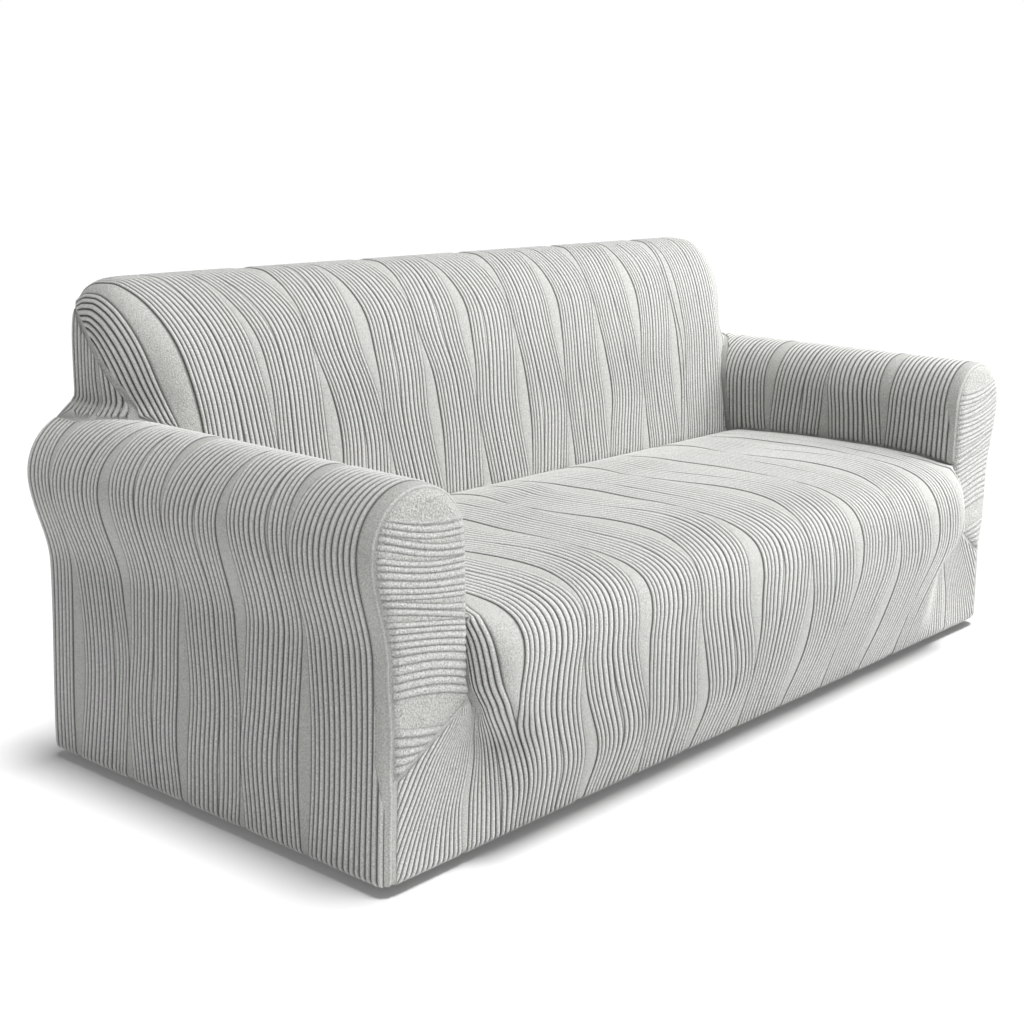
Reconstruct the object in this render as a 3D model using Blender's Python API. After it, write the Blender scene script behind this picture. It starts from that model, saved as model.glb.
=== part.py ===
"""Fitted stretch cover for a three-seat sofa with rolled arms.

The cover is nine sewn panels of ribbed knit, hollow and open underneath. It is drawn in a working
frame with z = 0 at the hem, y = 0 at the front and x = 0 in the middle, seen from the front with the
right arm at +x, and then parented to an empty that puts the world origin under the middle of the
back's top, where the sofa holds the cover up.
"""

import math

import bmesh
import bpy
import numpy as np

# Overall sizes, in metres.
HALF_WIDTH = 1.000  # outer side at the hem
DEPTH = 0.903  # front hem to rear hem
INNER_HALF = 0.8146  # inside face of an arm

# Cloth.
CLOTH = 0.0018
RIB_HEIGHT = 0.0014
RIB_PITCH = 0.045
REAR_RIB_PITCH = 0.072
SEAM_GAP = 0.0003
HEM_RADIUS = 0.014
HEM_TURN = 0.018  # from the outer face to the free edge of the turned-under hem

# Arm: a straight side that flares into a roll.
ROLL_X = 0.9185
ROLL_Z = (0.528, 0.531)  # front, rear
ROLL_RADIUS = (0.102, 0.108)  # front, rear
NECK_X = 0.990
NECK_Z = 0.360
FRONT_EDGE = 0.022  # radius of the edge between an arm's side and its front
REAR_EDGE = 0.020
FRONT_SWELL = 0.008  # how far the arm's padded front stands forward of the hem
FRONT_CROWN = 0.004  # further rise of the front in the middle of its width

# Arm front panel: a rounded top, and a mitre down to a point at the outer corner.
MITRE_TOP_Z = 0.273
POINT_Z = 0.172
POINT_X = 0.976
TURN_HEIGHTS = (0.150, 0.330)  # between these the front seam climbs from the front on to the edge
TURN_ANGLES = (80.0, 45.0)  # degrees round the edge at those heights
MITRE_CORNER_IN = 0.008  # from the arm's inside face to the top of the mitre
MITRE_CORNER_BACK = 0.004
RECESS_Y = 0.0163  # how far the seat's end tucks in behind the arm front
RECESS_IN = 0.0008
RECESS_Z = (0.380, 0.340, 0.300)  # heights of the seam's points down the recess

# Seat profile, crease to hem: y, z.
SEAT_PROFILE = (
    (0.619, 0.405), (0.608, 0.408), (0.560, 0.417), (0.460, 0.424), (0.320, 0.427),
    (0.180, 0.425), (0.080, 0.418), (0.012, 0.406), (-0.027, 0.386), (-0.050, 0.352),
    (-0.058, 0.312), (-0.0585, 0.287), (-0.058, 0.264), (-0.055, 0.235), (-0.050, 0.205),
    (-0.043, 0.172), (-0.029, 0.118), (-0.012, 0.058),
)
SEAT_NOSE_ROW = 7
SEAT_END_RADIUS = 0.055
SEAT_INSET = 0.004  # from the seat's side seams to its first line of points
SEAT_EDGE_SOFTNESS = 0.08  # width over which the seat's top sinks to its side crease
SEAT_EDGE_SINK = 0.004
SEAT_SINK_Y = (0.60, 0.50)  # the side crease starts to sink at the first, and has sunk at the second
SEAT_FRONT_POWER = 2.2  # roundness of the seat's front corner in plan
RECESS_RISE = 0.036  # height over which the flat skirt draws back into the recess
RECESS_LEAD = 0.3  # share of that drawing back already done at the top of the mitre
FOLD_LEAN = 0.030  # how far the fold below the seat's end leans inward on its way to the hem
FAN_START = 0.70  # ribs of the skirt spread out beyond this distance from the middle
CREASE_Y, CREASE_Z = SEAT_PROFILE[0]

# Inside back profile, crease to the seam behind the top: y, z.
BACK_PROFILE = (
    (0.619, 0.405), (0.640, 0.540), (0.660, 0.660), (0.675, 0.710), (0.694, 0.762),
    (0.724, 0.813), (0.766, 0.855), (0.812, 0.876), (0.847, 0.878), (0.878, 0.868),
    (0.893, 0.855), (0.898, 0.846),
)
BACK_FACE_POINTS = 8  # how many of them lie on the front face
BACK_CORE_POINT = 2  # the first one above the core of the back's ends
TOP_Y, TOP_Z = 0.832, 0.8771

# End of the back: a rounded end that closes on a core point of its outline.
END_START_X = 0.780
END_REACH = 0.155
CORE_Y, CORE_Z = DEPTH, 0.640
END_POWER = (2.2, 6.0)  # roundness of the plan corner, and of the top corner
FLARE = 0.030  # how far the end gusset runs out over the arm
FLARE_Z = (0.632, 0.670)  # full at the first height, gone at the second
MITRE_CONTROL = (0.789, 0.755)  # bends the seam of the gusset: y, z
MITRE_END_SHARE = 0.93
END_TAPER = 0.018  # how far the end's rear edge draws in towards the middle
END_TAPER_RUN = 0.15
FOOT_STEPS = 12  # rounds in which an arm's meeting with the back settles
REAR_TURN = math.radians(45.0)  # from the side round the rear edge to the seam of the outside back
REAR_END_Z = (0.646, 0.668, 0.705, 0.755, 0.800)  # heights of the points on the gusset's rear seam

# Rib bands: plain leaf-shaped gaps open and close between them.
LEAF_WIDTH = 0.030
LEAF_LENGTH = 0.56
LEAF_SPACING = 0.125
LEAF_SHUT = 0.0015

SEAT_COLOUR = (0.60, 0.61, 0.59, 1.0)
ARM_COLOUR = (0.50, 0.51, 0.49, 1.0)
CLOTH_ROUGHNESS = 0.9


def smooth(share):
    share = np.clip(share, 0.0, 1.0)
    return share * share * (3.0 - 2.0 * share)


def mix(pair, share):
    return pair[0] + (pair[1] - pair[0]) * share


# ---------------------------------------------------------------- outlines of the covered sofa


def back_face_y(z):
    """Front face of the back at a height, in the middle of the sofa."""
    table = np.array(BACK_PROFILE[:BACK_FACE_POINTS])
    return np.interp(z, table[:, 1], table[:, 0])


def end_power(angle):
    return END_POWER[0] + (END_POWER[1] - END_POWER[0]) * math.sin(angle) ** 2


def flare(z):
    full, gone = FLARE_Z
    return FLARE * min(max((gone - z) / (gone - full), 0.0), 1.0) ** 2


def end_reach(y, z):
    """How far the back's end stands out from where its rounding starts."""
    rear = float(smooth((y - DEPTH + END_TAPER_RUN) / END_TAPER_RUN))
    return END_REACH + flare(z) - END_TAPER * rear * (1.0 - flare(z) / FLARE)


def outline_share(y, z):
    """How far a point lies from the core to the back's outline, and the angle that it lies at."""
    if z <= CORE_Z:
        return (CORE_Y - y) / (CORE_Y - back_face_y(z)), 0.0
    table = np.array(BACK_PROFILE[BACK_CORE_POINT:])
    angles = np.arctan2(table[:, 1] - CORE_Z, CORE_Y - table[:, 0])
    radii = np.hypot(table[:, 1] - CORE_Z, CORE_Y - table[:, 0])
    angles = np.concatenate([[0.0], angles])
    radii = np.concatenate([[CORE_Y - back_face_y(CORE_Z)], radii])
    angle = math.atan2(z - CORE_Z, CORE_Y - y)
    return math.hypot(z - CORE_Z, CORE_Y - y) / float(np.interp(angle, angles, radii)), angle


def end_x(y, z):
    """Outer face of the back's right end over a point of its side view."""
    share, angle = outline_share(y, z)
    power = end_power(angle)
    reach = (1.0 - min(max(share, 0.0), 1.0) ** power) ** (1.0 / power)
    return END_START_X + end_reach(y, z) * reach


def foot_y(x, z):
    """Depth at which an arm's surface point meets the back."""
    power = END_POWER[0]
    run = CORE_Y - float(back_face_y(z))
    y = CORE_Y - run
    for _ in range(FOOT_STEPS):
        across = min(max((x - END_START_X) / end_reach(y, z), 0.0), 1.0)
        y = CORE_Y - run * (1.0 - across**power) ** (1.0 / power)
    return y


def seat_edge_z(y):
    """Height of the crease between the seat and an arm."""
    table = np.array(SEAT_PROFILE[: SEAT_NOSE_ROW + 1])[::-1]
    start, stop = SEAT_SINK_Y
    sunk = SEAT_EDGE_SINK * float(smooth((start - y) / (start - stop)))
    return float(np.interp(y, table[:, 0], table[:, 1])) - sunk


# Rows of an arm's section: the stretch that a row lies on, and its place along it. On the hem and
# the roll that is an angle in degrees. Half-way up the side is the point of the arm front.
FOOT_TURN = 64.5  # where the roll meets the outside back
MITRE_TURN = 95.0  # where it meets the mitre of the gusset
ARM_ROWS = (
    ("flap", 0.0), ("hem", 0.0), ("hem", 45.0), ("hem", 90.0), ("side", 0.5), ("side", 0.75),
    ("side", 1.0), ("neck", 0.33), ("neck", 0.66), ("roll", 0.0), ("roll", 24.0), ("roll", 46.0),
    ("roll", FOOT_TURN), ("roll", 74.0), ("roll", 84.0), ("roll", MITRE_TURN), ("roll", 112.0),
    ("roll", 134.0), ("roll", 157.0), ("roll", 180.0), ("inside", 0.50), ("inside", 0.93),
    ("inside", 1.0),
)
FOOT_ROW = ARM_ROWS.index(("roll", FOOT_TURN))
MITRE_ROW = ARM_ROWS.index(("roll", MITRE_TURN))
POINT_ROW = ARM_ROWS.index(("side", 0.5))
HEM_ROW = ARM_ROWS.index(("hem", 90.0))


def arm_point(row, y):
    """Outer surface of the right arm at a row and a depth: x, z and the outward normal's x, z."""
    stretch, place = ARM_ROWS[row]
    share = min(max(y / DEPTH, 0.0), 1.0)
    radius, roll_z = mix(ROLL_RADIUS, share), mix(ROLL_Z, share)
    if stretch == "flap":
        return HALF_WIDTH - HEM_TURN, 0.0, 0.0, -1.0
    if stretch == "hem":
        turn = math.radians(place)
        across, down = math.sin(turn), math.cos(turn)
        return (HALF_WIDTH - HEM_RADIUS * (1 - across), HEM_RADIUS * (1 - down), across, -down)
    if stretch == "side":
        z = float(np.interp(place, (0.0, 0.5, 1.0), (HEM_RADIUS, POINT_Z, NECK_Z)))
        return (HALF_WIDTH - (HALF_WIDTH - NECK_X) * float(smooth(z / NECK_Z)), z, 1.0, 0.03)
    if stretch == "neck":
        run = (ROLL_X + radius - NECK_X, roll_z - NECK_Z)
        slope = 6.0 * place * (1.0 - place) * run[0]
        size = math.hypot(slope, run[1])
        return (NECK_X + run[0] * float(smooth(place)), NECK_Z + run[1] * place,
                run[1] / size, -slope / size)
    if stretch == "roll":
        turn = math.radians(place)
        across, up = math.cos(turn), math.sin(turn)
        return ROLL_X + radius * across, roll_z + radius * up, across, up
    start = ROLL_X - radius
    x = start + (INNER_HALF - start) * float(smooth(place))
    return x, roll_z + (seat_edge_z(y) - roll_z) * place, -1.0, 0.0


def swell_y(z):
    """Depth of an arm's front face at a height, before its crown."""
    return -FRONT_SWELL * float(smooth((z - POINT_Z) / (MITRE_TOP_Z - POINT_Z)))


def front_turn(row):
    """Angle through which an arm's cloth turns round the front edge before its seam."""
    z = arm_point(row, 0.0)[1]
    return math.radians(float(np.interp(z, TURN_HEIGHTS, TURN_ANGLES)))


def turned(row, y, radius, angle, facing):
    """A point on the rounded edge at the front (facing -1) or rear (+1) of an arm."""
    x, z, across, up = arm_point(row, y)
    if row < HEM_ROW:
        flat = radius - (HALF_WIDTH - x)
        centre_x = HALF_WIDTH - radius
        return np.array([centre_x + flat * math.cos(angle), y + facing * flat * math.sin(angle), z])
    inward = radius * (1.0 - math.cos(angle))
    return np.array([x - across * inward, y + facing * radius * math.sin(angle), z - up * inward])


def arm_ends(row):
    """The depths between which an arm's row runs straight."""
    x, z = arm_point(row, DEPTH)[:2]
    front = swell_y(z) + FRONT_EDGE
    if row <= FOOT_ROW:
        return front, DEPTH - REAR_EDGE
    if row == len(ARM_ROWS) - 1:
        return front, CREASE_Y
    rear = foot_y(x, z)
    x, z = arm_point(row, rear)[:2]
    return front, foot_y(x, z)


def arm_at(row, share):
    """A point between the two seams of an arm's row: -1 to 0 is the front edge's turn, 0 to 1 the
    straight run, 1 to 2 the rear edge's turn."""
    front, rear = arm_ends(row)
    if share < 0.0:
        return turned(row, front, FRONT_EDGE, -share * front_turn(row), -1)
    if share > 1.0 and row <= FOOT_ROW:
        return turned(row, rear, REAR_EDGE, (share - 1.0) * REAR_TURN, 1)
    y = front + (rear - front) * min(share, 1.0)
    x, z = arm_point(row, y)[:2]
    return np.array([x, y, z])


# ---------------------------------------------------------------- seams that two panels share


def arm_front_seam():
    """Arm to arm front: up the outer edge from the point, over the roll, down to the seat."""
    return [arm_at(row, -1.0) for row in range(POINT_ROW, len(ARM_ROWS))]


def skirt_seam():
    """Arm to seat skirt, from the hem's free edge up to the point."""
    return [arm_at(row, -1.0) for row in range(POINT_ROW + 1)]


def arm_rear_seam():
    """Arm to outside back, from the hem's free edge up to the gusset's foot."""
    return [arm_at(row, 2.0) for row in range(FOOT_ROW + 1)]


def foot_seam():
    """Arm to gusset, from the rear foot forward to the mitre."""
    return [arm_at(row, 2.0) for row in range(FOOT_ROW, MITRE_ROW + 1)]


def inner_rear_seam():
    """Arm to inside back, from the mitre down to the seat crease."""
    return [arm_at(row, 2.0) for row in range(MITRE_ROW, len(ARM_ROWS))]


def mitre_seam():
    """Arm front to seat: down the recess from the seat's nose, then out along the mitre."""
    down = [np.array([INNER_HALF + RECESS_IN, RECESS_Y, z]) for z in RECESS_Z]
    corner_y = swell_y(MITRE_TOP_Z) + MITRE_CORNER_BACK
    corner = np.array([INNER_HALF + MITRE_CORNER_IN, corner_y, MITRE_TOP_Z])
    point = skirt_seam()[-1]
    along = [corner + (point - corner) * share for share in (0.35, 0.70, 1.0)]
    for spot in along[:-1]:
        spot[1] = swell_y(spot[2])
    return [arm_front_seam()[-1], *down, corner, *along]


def seat_side_seam():
    """Seat to arm, from the rear crease forward to the nose."""
    front = arm_front_seam()[-1]
    rear = inner_rear_seam()[-1]
    spots = [rear]
    for y, _ in SEAT_PROFILE[1:SEAT_NOSE_ROW]:
        spots.append(np.array([INNER_HALF, y, seat_edge_z(y)]))
    return [*spots, front]


def gusset_mitre_seam():
    """Gusset to inside back, from the arm up to the rear top, one point for each row there."""
    start = inner_rear_seam()[0]
    end = np.array([CORE_Y, CORE_Z]) + MITRE_END_SHARE * (
        np.array(BACK_PROFILE[-1]) - np.array([CORE_Y, CORE_Z]))
    shares = np.linspace(0.0, 1.0, 60)[:, None]
    curve = ((1 - shares) ** 2 * start[1:] + 2 * shares * (1 - shares) * np.array(MITRE_CONTROL)
             + shares**2 * end)
    angles = np.arctan2(curve[:, 1] - CORE_Z, CORE_Y - curve[:, 0])
    spots = [start]
    for y, z in BACK_PROFILE[BACK_CORE_POINT:]:
        angle = math.atan2(z - CORE_Z, CORE_Y - y)
        at = [float(np.interp(angle, angles, curve[:, axis])) for axis in (0, 1)]
        spots.append(np.array([end_x(*at), *at]))
    return spots


REAR_SEAM_Y = DEPTH - REAR_EDGE * (1.0 - math.sin(REAR_TURN))
REAR_SEAM_IN = REAR_EDGE * (1.0 - math.cos(REAR_TURN))


def gusset_rear_seam():
    """Gusset to outside back, from the foot up to the mitre's end."""
    spots = [foot_seam()[0]]
    for z in REAR_END_Z:
        spots.append(np.array([end_x(REAR_SEAM_Y, z) - REAR_SEAM_IN, REAR_SEAM_Y, z]))
    return [*spots, gusset_mitre_seam()[-1]]


def mirrored(spots):
    return [spot * np.array([-1.0, 1.0, 1.0]) for spot in spots]


def level_seam(right_end, y, z, count):
    """A seam across the sofa between two mirrored ends, right to left."""
    xs = np.linspace(END_START_X, -END_START_X, count)
    middle = [np.array([x, y, z]) for x in xs]
    return [right_end, *middle, mirrored([right_end])[0]]


def crease_seam():
    """Seat to inside back, right to left."""
    end = inner_rear_seam()[-1]
    return [end, *[np.array([x, CREASE_Y, CREASE_Z]) for x in (0.5, 0.0, -0.5)], mirrored([end])[0]]


def top_seam():
    """Inside back to outside back, right to left."""
    return level_seam(gusset_mitre_seam()[-1], *BACK_PROFILE[-1], 5)


# ---------------------------------------------------------------- ribs


def rib_columns(width, lengths, first_leaf=0.5, pitch=RIB_PITCH):
    """Places of rib grooves and crests across a panel, for rows at the given lengths along it.

    Gives shares from 0 to 1 for each row and column, and the relief of each column. Leaf-shaped
    gaps open and close by turns between bands of ribs, and push the bands from side to side.
    """
    ribs = int(round(width / pitch))
    leaves = int(round(width / LEAF_SPACING))
    slots = {int(round((leaf + first_leaf) * ribs / leaves)): leaf for leaf in range(leaves)}
    lengths = np.asarray(lengths)[:, None]
    half = np.full_like(lengths, 0.5 * pitch)
    steps, relief = [np.zeros_like(lengths)], [0.0]
    for rib in range(ribs):
        if rib in slots and rib > 0:
            leaf = slots[rib]
            drop = 0.5 * (leaf % 2) + 0.09 * math.sin(2.4 * leaf)
            wave = np.abs(np.sin(math.pi * (lengths / LEAF_LENGTH + drop))) ** 1.4
            steps.append(LEAF_SHUT + LEAF_WIDTH * wave)
            relief.append(0.0)
        steps += [half, half]
        relief += [RIB_HEIGHT, 0.0]
    edges = np.cumsum(np.hstack(steps), axis=1)
    return edges / edges[:, -1:], np.array(relief)


# ---------------------------------------------------------------- panels as closed sheets


class Panel:
    """One cut piece: an outer grid with its relief, a plainer inner grid, and its four seams.

    Rows run along the ribs' length, or across them on the arm fronts. across x along points out of
    the sofa. The seams follow the sides of the grid in turn: first row, last column, last row
    back, first column back, each from corner to corner.
    """

    def __init__(self, name, outer, relief, inner, seams, colour):
        self.name = name
        self.outer = np.array(outer)
        self.relief = np.broadcast_to(relief, self.outer.shape[:2])
        self.inner = np.array(inner)
        self.seams = seams
        self.colour = colour


def grid_normals(grid):
    normal = np.cross(np.gradient(grid, axis=1), np.gradient(grid, axis=0))
    return normal / np.linalg.norm(normal, axis=2, keepdims=True)


def path_lengths(spots):
    steps = np.linalg.norm(np.diff(np.asarray(spots), axis=0), axis=1)
    return np.concatenate([[0.0], np.cumsum(steps)])


def sides_of(index):
    """The four sides of a grid of indices, in the order of a panel's seams."""
    return [list(index[0, :]), list(index[:, -1]), list(index[-1, ::-1]), list(index[::-1, 0])]


def nearest(spots, spot):
    return int(np.argmin(np.linalg.norm(spots - spot, axis=1)))


def seam_key(spot):
    return tuple(np.round(spot, 6))


def seam_directions(panels):
    """The step through the cloth at each seam vertex, shared by the panels that meet there."""
    found = {}
    for panel in panels:
        spots = panel.outer.reshape(-1, 3)
        normals = grid_normals(panel.outer).reshape(-1, 3)
        index = np.arange(len(spots)).reshape(panel.outer.shape[:2])
        for seam, line in zip(panel.seams, sides_of(index)):
            for spot in seam:
                at = line[nearest(spots[line], spot)]
                found.setdefault(seam_key(spot), []).append(normals[at])
    steps = {}
    for key, normals in found.items():
        mean = np.sum(normals, axis=0)
        mean /= np.linalg.norm(mean)
        lean = max(min(float(mean @ normal) for normal in normals), 0.5)
        steps[key] = -mean * CLOTH / lean
    return steps


class Sheet:
    """Vertices and faces of one closed sheet while it is put together."""

    def __init__(self):
        self.spots = []
        self.faces = []

    def add(self, spots):
        first = len(self.spots)
        self.spots.extend(np.asarray(spots).reshape(-1, 3))
        return list(range(first, len(self.spots)))

    def face(self, corners, flip):
        self.faces.append(corners[::-1] if flip else corners)

    def grid(self, points, flip):
        rows, columns = points.shape[:2]
        index = np.array(self.add(points)).reshape(rows, columns)
        for row in range(rows - 1):
            for column in range(columns - 1):
                self.face([index[row, column], index[row, column + 1],
                           index[row + 1, column + 1], index[row + 1, column]], flip)
        return index

    def strip(self, first, second, flip):
        """Triangles between two lines of vertices that run the same way."""
        a = b = 0
        while a < len(first) - 1 or b < len(second) - 1:
            step_a = step_b = math.inf
            if a < len(first) - 1:
                step_a = np.linalg.norm(self.spots[first[a + 1]] - self.spots[second[b]])
            if b < len(second) - 1:
                step_b = np.linalg.norm(self.spots[second[b + 1]] - self.spots[first[a]])
            if step_a <= step_b:
                self.face([first[a], first[a + 1], second[b]], flip)
                a += 1
            else:
                self.face([first[a], second[b + 1], second[b]], flip)
                b += 1


def insets(loop, corners, outer):
    """The small step from each seam vertex into its own panel."""
    spots = outer.reshape(-1, 3)
    lines = sides_of(np.arange(len(spots)).reshape(outer.shape[:2]))
    steps = []
    for k, spot in enumerate(loop):
        side = sum(1 for corner in corners if corner <= k) - 1
        if k in corners:
            step = spots[lines[side][0]] - spot
            size = 0.5 * SEAM_GAP * math.sqrt(2.0)
        else:
            step = spots[lines[side]][nearest(spots[lines[side]], spot)] - spot
            tangent = loop[(k + 1) % len(loop)] - loop[k - 1]
            step = step - tangent * float(step @ tangent) / float(tangent @ tangent)
            size = 0.5 * SEAM_GAP
        steps.append(step / np.linalg.norm(step) * size)
    return np.array(steps)


def closed_sheet(panel, through):
    """Both faces of a panel, joined to one loop of seam vertices on each and closed by a rim."""
    sheet = Sheet()
    raised = panel.outer + grid_normals(panel.outer) * panel.relief[..., None]
    outer = sheet.grid(raised, False)
    inner = sheet.grid(panel.inner - grid_normals(panel.inner) * CLOTH, True)
    loop = np.array([spot for seam in panel.seams for spot in seam[:-1]])
    starts = [0, *np.cumsum([len(seam) - 1 for seam in panel.seams])]
    edge = loop + insets(loop, starts[:-1], panel.outer)
    outer_loop = sheet.add(edge)
    inner_loop = sheet.add(edge + np.array([through[seam_key(spot)] for spot in loop]))
    for side in range(4):
        span = [k % len(loop) for k in range(starts[side], starts[side + 1] + 1)]
        sheet.strip([outer_loop[k] for k in span], sides_of(outer)[side], False)
        sheet.strip([inner_loop[k] for k in span], sides_of(inner)[side], True)
    for k, spot in enumerate(outer_loop):
        after = (k + 1) % len(loop)
        sheet.face([outer_loop[after], spot, inner_loop[k], inner_loop[after]], False)
    return sheet


# ---------------------------------------------------------------- the nine panels


MARGIN = 0.010  # plain cloth beside a seam
TURN = (0.75, 0.4, 0.0)  # shares of an edge's turn at which the cloth has a line of points


def arm_panel():
    rows = range(1, len(ARM_ROWS) - 1)
    lengths = path_lengths([arm_at(row, 0.5) for row in rows])
    shares, relief = rib_columns(DEPTH - 0.1, lengths)
    turn = [-share for share in TURN]
    outer, inner = [], []
    for row, places in zip(rows, shares):
        front, rear = arm_ends(row)
        unit = MARGIN / (rear - front)
        ends = [1.0, 1.4, 1.75] if row <= FOOT_ROW else [1.0 - 2.2 * unit, 1.0 - 1.6 * unit, 1.0 - unit]
        start, stop = unit, ends[0] - unit
        outer.append([arm_at(row, at) for at in (*turn, *(start + (stop - start) * places), *ends)])
        plain = start + (stop - start) * np.linspace(0.0, 1.0, 4)
        inner.append([arm_at(row, at) for at in (*turn, *plain, *ends)])
    every = range(len(ARM_ROWS))
    seams = [
        [arm_at(0, at) for at in (-1.0, 0.0, 0.5, 1.0, 2.0)],
        [arm_at(row, 2.0) for row in every],
        seat_side_seam(),
        [arm_at(row, -1.0) for row in reversed(every)],
    ]
    relief = np.concatenate([np.zeros(3), relief, np.zeros(3)])
    return Panel("arm", outer, relief, inner, seams, ARM_COLOUR)


def outline_distance(outline, spot):
    """Distance in the front view from a point to an open outline."""
    a, b = outline[:-1], outline[1:]
    run = b - a
    share = np.clip(((spot - a) * run).sum(axis=1) / (run * run).sum(axis=1), 0.0, 1.0)
    return float(np.linalg.norm(a + run * share[:, None] - spot, axis=1).min())


def arm_front_panel():
    edge = arm_front_seam()
    mitre = mitre_seam()
    top_out = ARM_ROWS.index(("roll", 74.0)) - POINT_ROW
    top_in = ARM_ROWS.index(("roll", 112.0)) - POINT_ROW
    outside = np.array(edge[: top_out + 2])
    inside = np.array([mitre[-1], *mitre[-2:0:-1], *edge[:top_in - 1:-1]])
    outline = np.array([arm_point(row, 0.0)[:2] for row in range(POINT_ROW, len(ARM_ROWS))]
                       + [(INNER_HALF, RECESS_Z[-1])])
    low, high = mitre[-2][2] + 0.012, float(edge[top_in][2]) - 0.006
    ribs = int(round((high - low) / RIB_PITCH))
    outer, inner, relief = [], [], []
    for row, z in enumerate(np.linspace(low, high, 2 * ribs + 1)):
        right = float(np.interp(z, outside[:, 2], outside[:, 0])) - 0.005
        left = float(np.interp(z, inside[:, 2], inside[:, 0])) + 0.005
        line = []
        for share in (0.0, 0.08, 0.2, 0.5, 0.8, 0.92, 1.0):
            x = left + (right - left) * share
            depth = max(FRONT_EDGE - outline_distance(outline, np.array([x, z])), 0.0)
            y = swell_y(z) + FRONT_EDGE - math.sqrt(FRONT_EDGE**2 - depth**2)
            line.append(np.array([x, y - FRONT_CROWN * math.sin(math.pi * share), z]))
        outer.append(line)
        relief.append([RIB_HEIGHT * (row % 2)] * len(line))
        if row % 2 == 0:
            inner.append(line)
    seams = [
        mitre[-2:],
        edge[: top_out + 1],
        edge[top_out: top_in + 1],
        edge[top_in:] + mitre[1:-1],
    ]
    return Panel("arm_front", outer, np.array(relief), inner, seams, SEAT_COLOUR)


SEAT_HEM = ((0.0, 0.014), (0.0041, 0.0041), (0.014, 0.0))  # y, z


def skirt_half(z):
    """Half width of the seat panel at a height on the front."""
    along = (MITRE_TOP_Z - z) / (MITRE_TOP_Z - POINT_Z)
    return INNER_HALF + (POINT_X - INNER_HALF) * min(max(along, 0.0), 1.0)


def seat_at(row, x):
    """A point of the seat panel: the row along its profile, and the place across."""
    y, z = (*SEAT_PROFILE, *SEAT_HEM)[row]
    if row <= SEAT_NOSE_ROW:
        inset = max(INNER_HALF - abs(x), 0.0)
        edge = seat_edge_z(y)
        return np.array([x, y, z + (edge - z) * (1.0 - float(smooth(inset / SEAT_EDGE_SOFTNESS)))])
    if row >= len(SEAT_PROFILE):
        return np.array([x, y, z])
    below = float(smooth((MITRE_TOP_Z - z) / (MITRE_TOP_Z - POINT_Z)))
    fold = INNER_HALF - FOLD_LEAN * below
    share = min(max(fold - abs(x), 0.0) / (SEAT_END_RADIUS * (1.0 + below)), 1.0)
    rounded = (1.0 - (1.0 - share) ** SEAT_FRONT_POWER) ** (1.0 / SEAT_FRONT_POWER)
    full = rounded + (float(smooth(share)) - rounded) * below
    recess = float(smooth((z - MITRE_TOP_Z) / RECESS_RISE + RECESS_LEAD))
    flat = swell_y(z) + (RECESS_Y - swell_y(z)) * recess
    return np.array([x, flat + (y - flat) * full, z])


def fanned(x, half):
    """The place across of a seat rib that stands at x on the seat's top."""
    top = INNER_HALF - SEAT_INSET
    past = (abs(x) - FAN_START) / (top - FAN_START)
    if past <= 0.0:
        return x
    return math.copysign(FAN_START + (half - FAN_START) * past, x)


def seat_panel():
    rows = range(1, len(SEAT_PROFILE) + len(SEAT_HEM))
    centre = [seat_at(row, 0.0) for row in rows]
    shares, relief = rib_columns(2.0 * INNER_HALF, path_lengths(centre), first_leaf=0.3)
    ends = np.array([0.0, 0.006, 0.014, 0.024])
    start, stop = 0.032, 0.968
    outer, inner = [], []
    for row, places in zip(rows, shares):
        z = seat_at(row, 0.0)[2]
        half = (INNER_HALF if row <= SEAT_NOSE_ROW else skirt_half(z)) - SEAT_INSET
        for grid, middle in (outer, start + (stop - start) * places), (inner, np.linspace(start, stop, 7)):
            xs = (INNER_HALF - SEAT_INSET) * (1.0 - 2.0 * np.concatenate([ends, middle, 1.0 - ends[::-1]]))
            grid.append([seat_at(row, fanned(x, half)) for x in xs])
    side = [*seat_side_seam(), *mitre_seam()[1:], *reversed(skirt_seam()[:-1])]
    hem = [np.array([x, HEM_TURN, 0.0]) for x in (-0.6, -0.2, 0.2, 0.6)]
    seams = [crease_seam(), mirrored(side), [mirrored(side)[-1], *hem, side[-1]], side[::-1]]
    relief = np.concatenate([np.zeros(4), relief, np.zeros(4)])
    return Panel("seat", outer, relief, inner, seams, SEAT_COLOUR)


def back_row(row):
    """One level line of the inside back as a close run of points, from the middle to its seam."""
    arm_rows = len(ARM_ROWS) - 1 - MITRE_ROW
    if row <= arm_rows:
        seam = arm_at(len(ARM_ROWS) - 1 - row, 2.0)
        xs = np.concatenate([[0.0, END_START_X], np.linspace(END_START_X, seam[0], 14)[1:]])
        line = [np.array([x, foot_y(min(x, seam[0]), seam[2]), seam[2]]) for x in xs]
        line[0][1] = line[1][1] = float(back_face_y(seam[2]))
        return line
    spot = np.array(BACK_PROFILE[BACK_CORE_POINT + row - arm_rows - 1])
    core = np.array([CORE_Y, CORE_Z])
    seam = gusset_mitre_seam()[row - arm_rows]
    angle = math.atan2(spot[1] - CORE_Z, CORE_Y - spot[0])
    least = float(np.linalg.norm(seam[1:] - core) / np.linalg.norm(spot - core))
    line = [np.array([0.0, *spot])]
    for turn in np.linspace(0.0, 1.0, 16):
        share = 1.0 - (1.0 - least) * turn**1.6
        power = end_power(angle)
        at = core + share * (spot - core)
        reach = (1.0 - share**power) ** (1.0 / power)
        line.append(np.array([END_START_X + end_reach(*at) * reach, *at]))
    return line


def resampled(line, shares):
    """Points at shares of the run of a line."""
    line = np.array(line)
    lengths = path_lengths(line)
    at = np.asarray(shares) * lengths[-1]
    return np.stack([np.interp(at, lengths, line[:, axis]) for axis in range(3)], axis=1)


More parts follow.
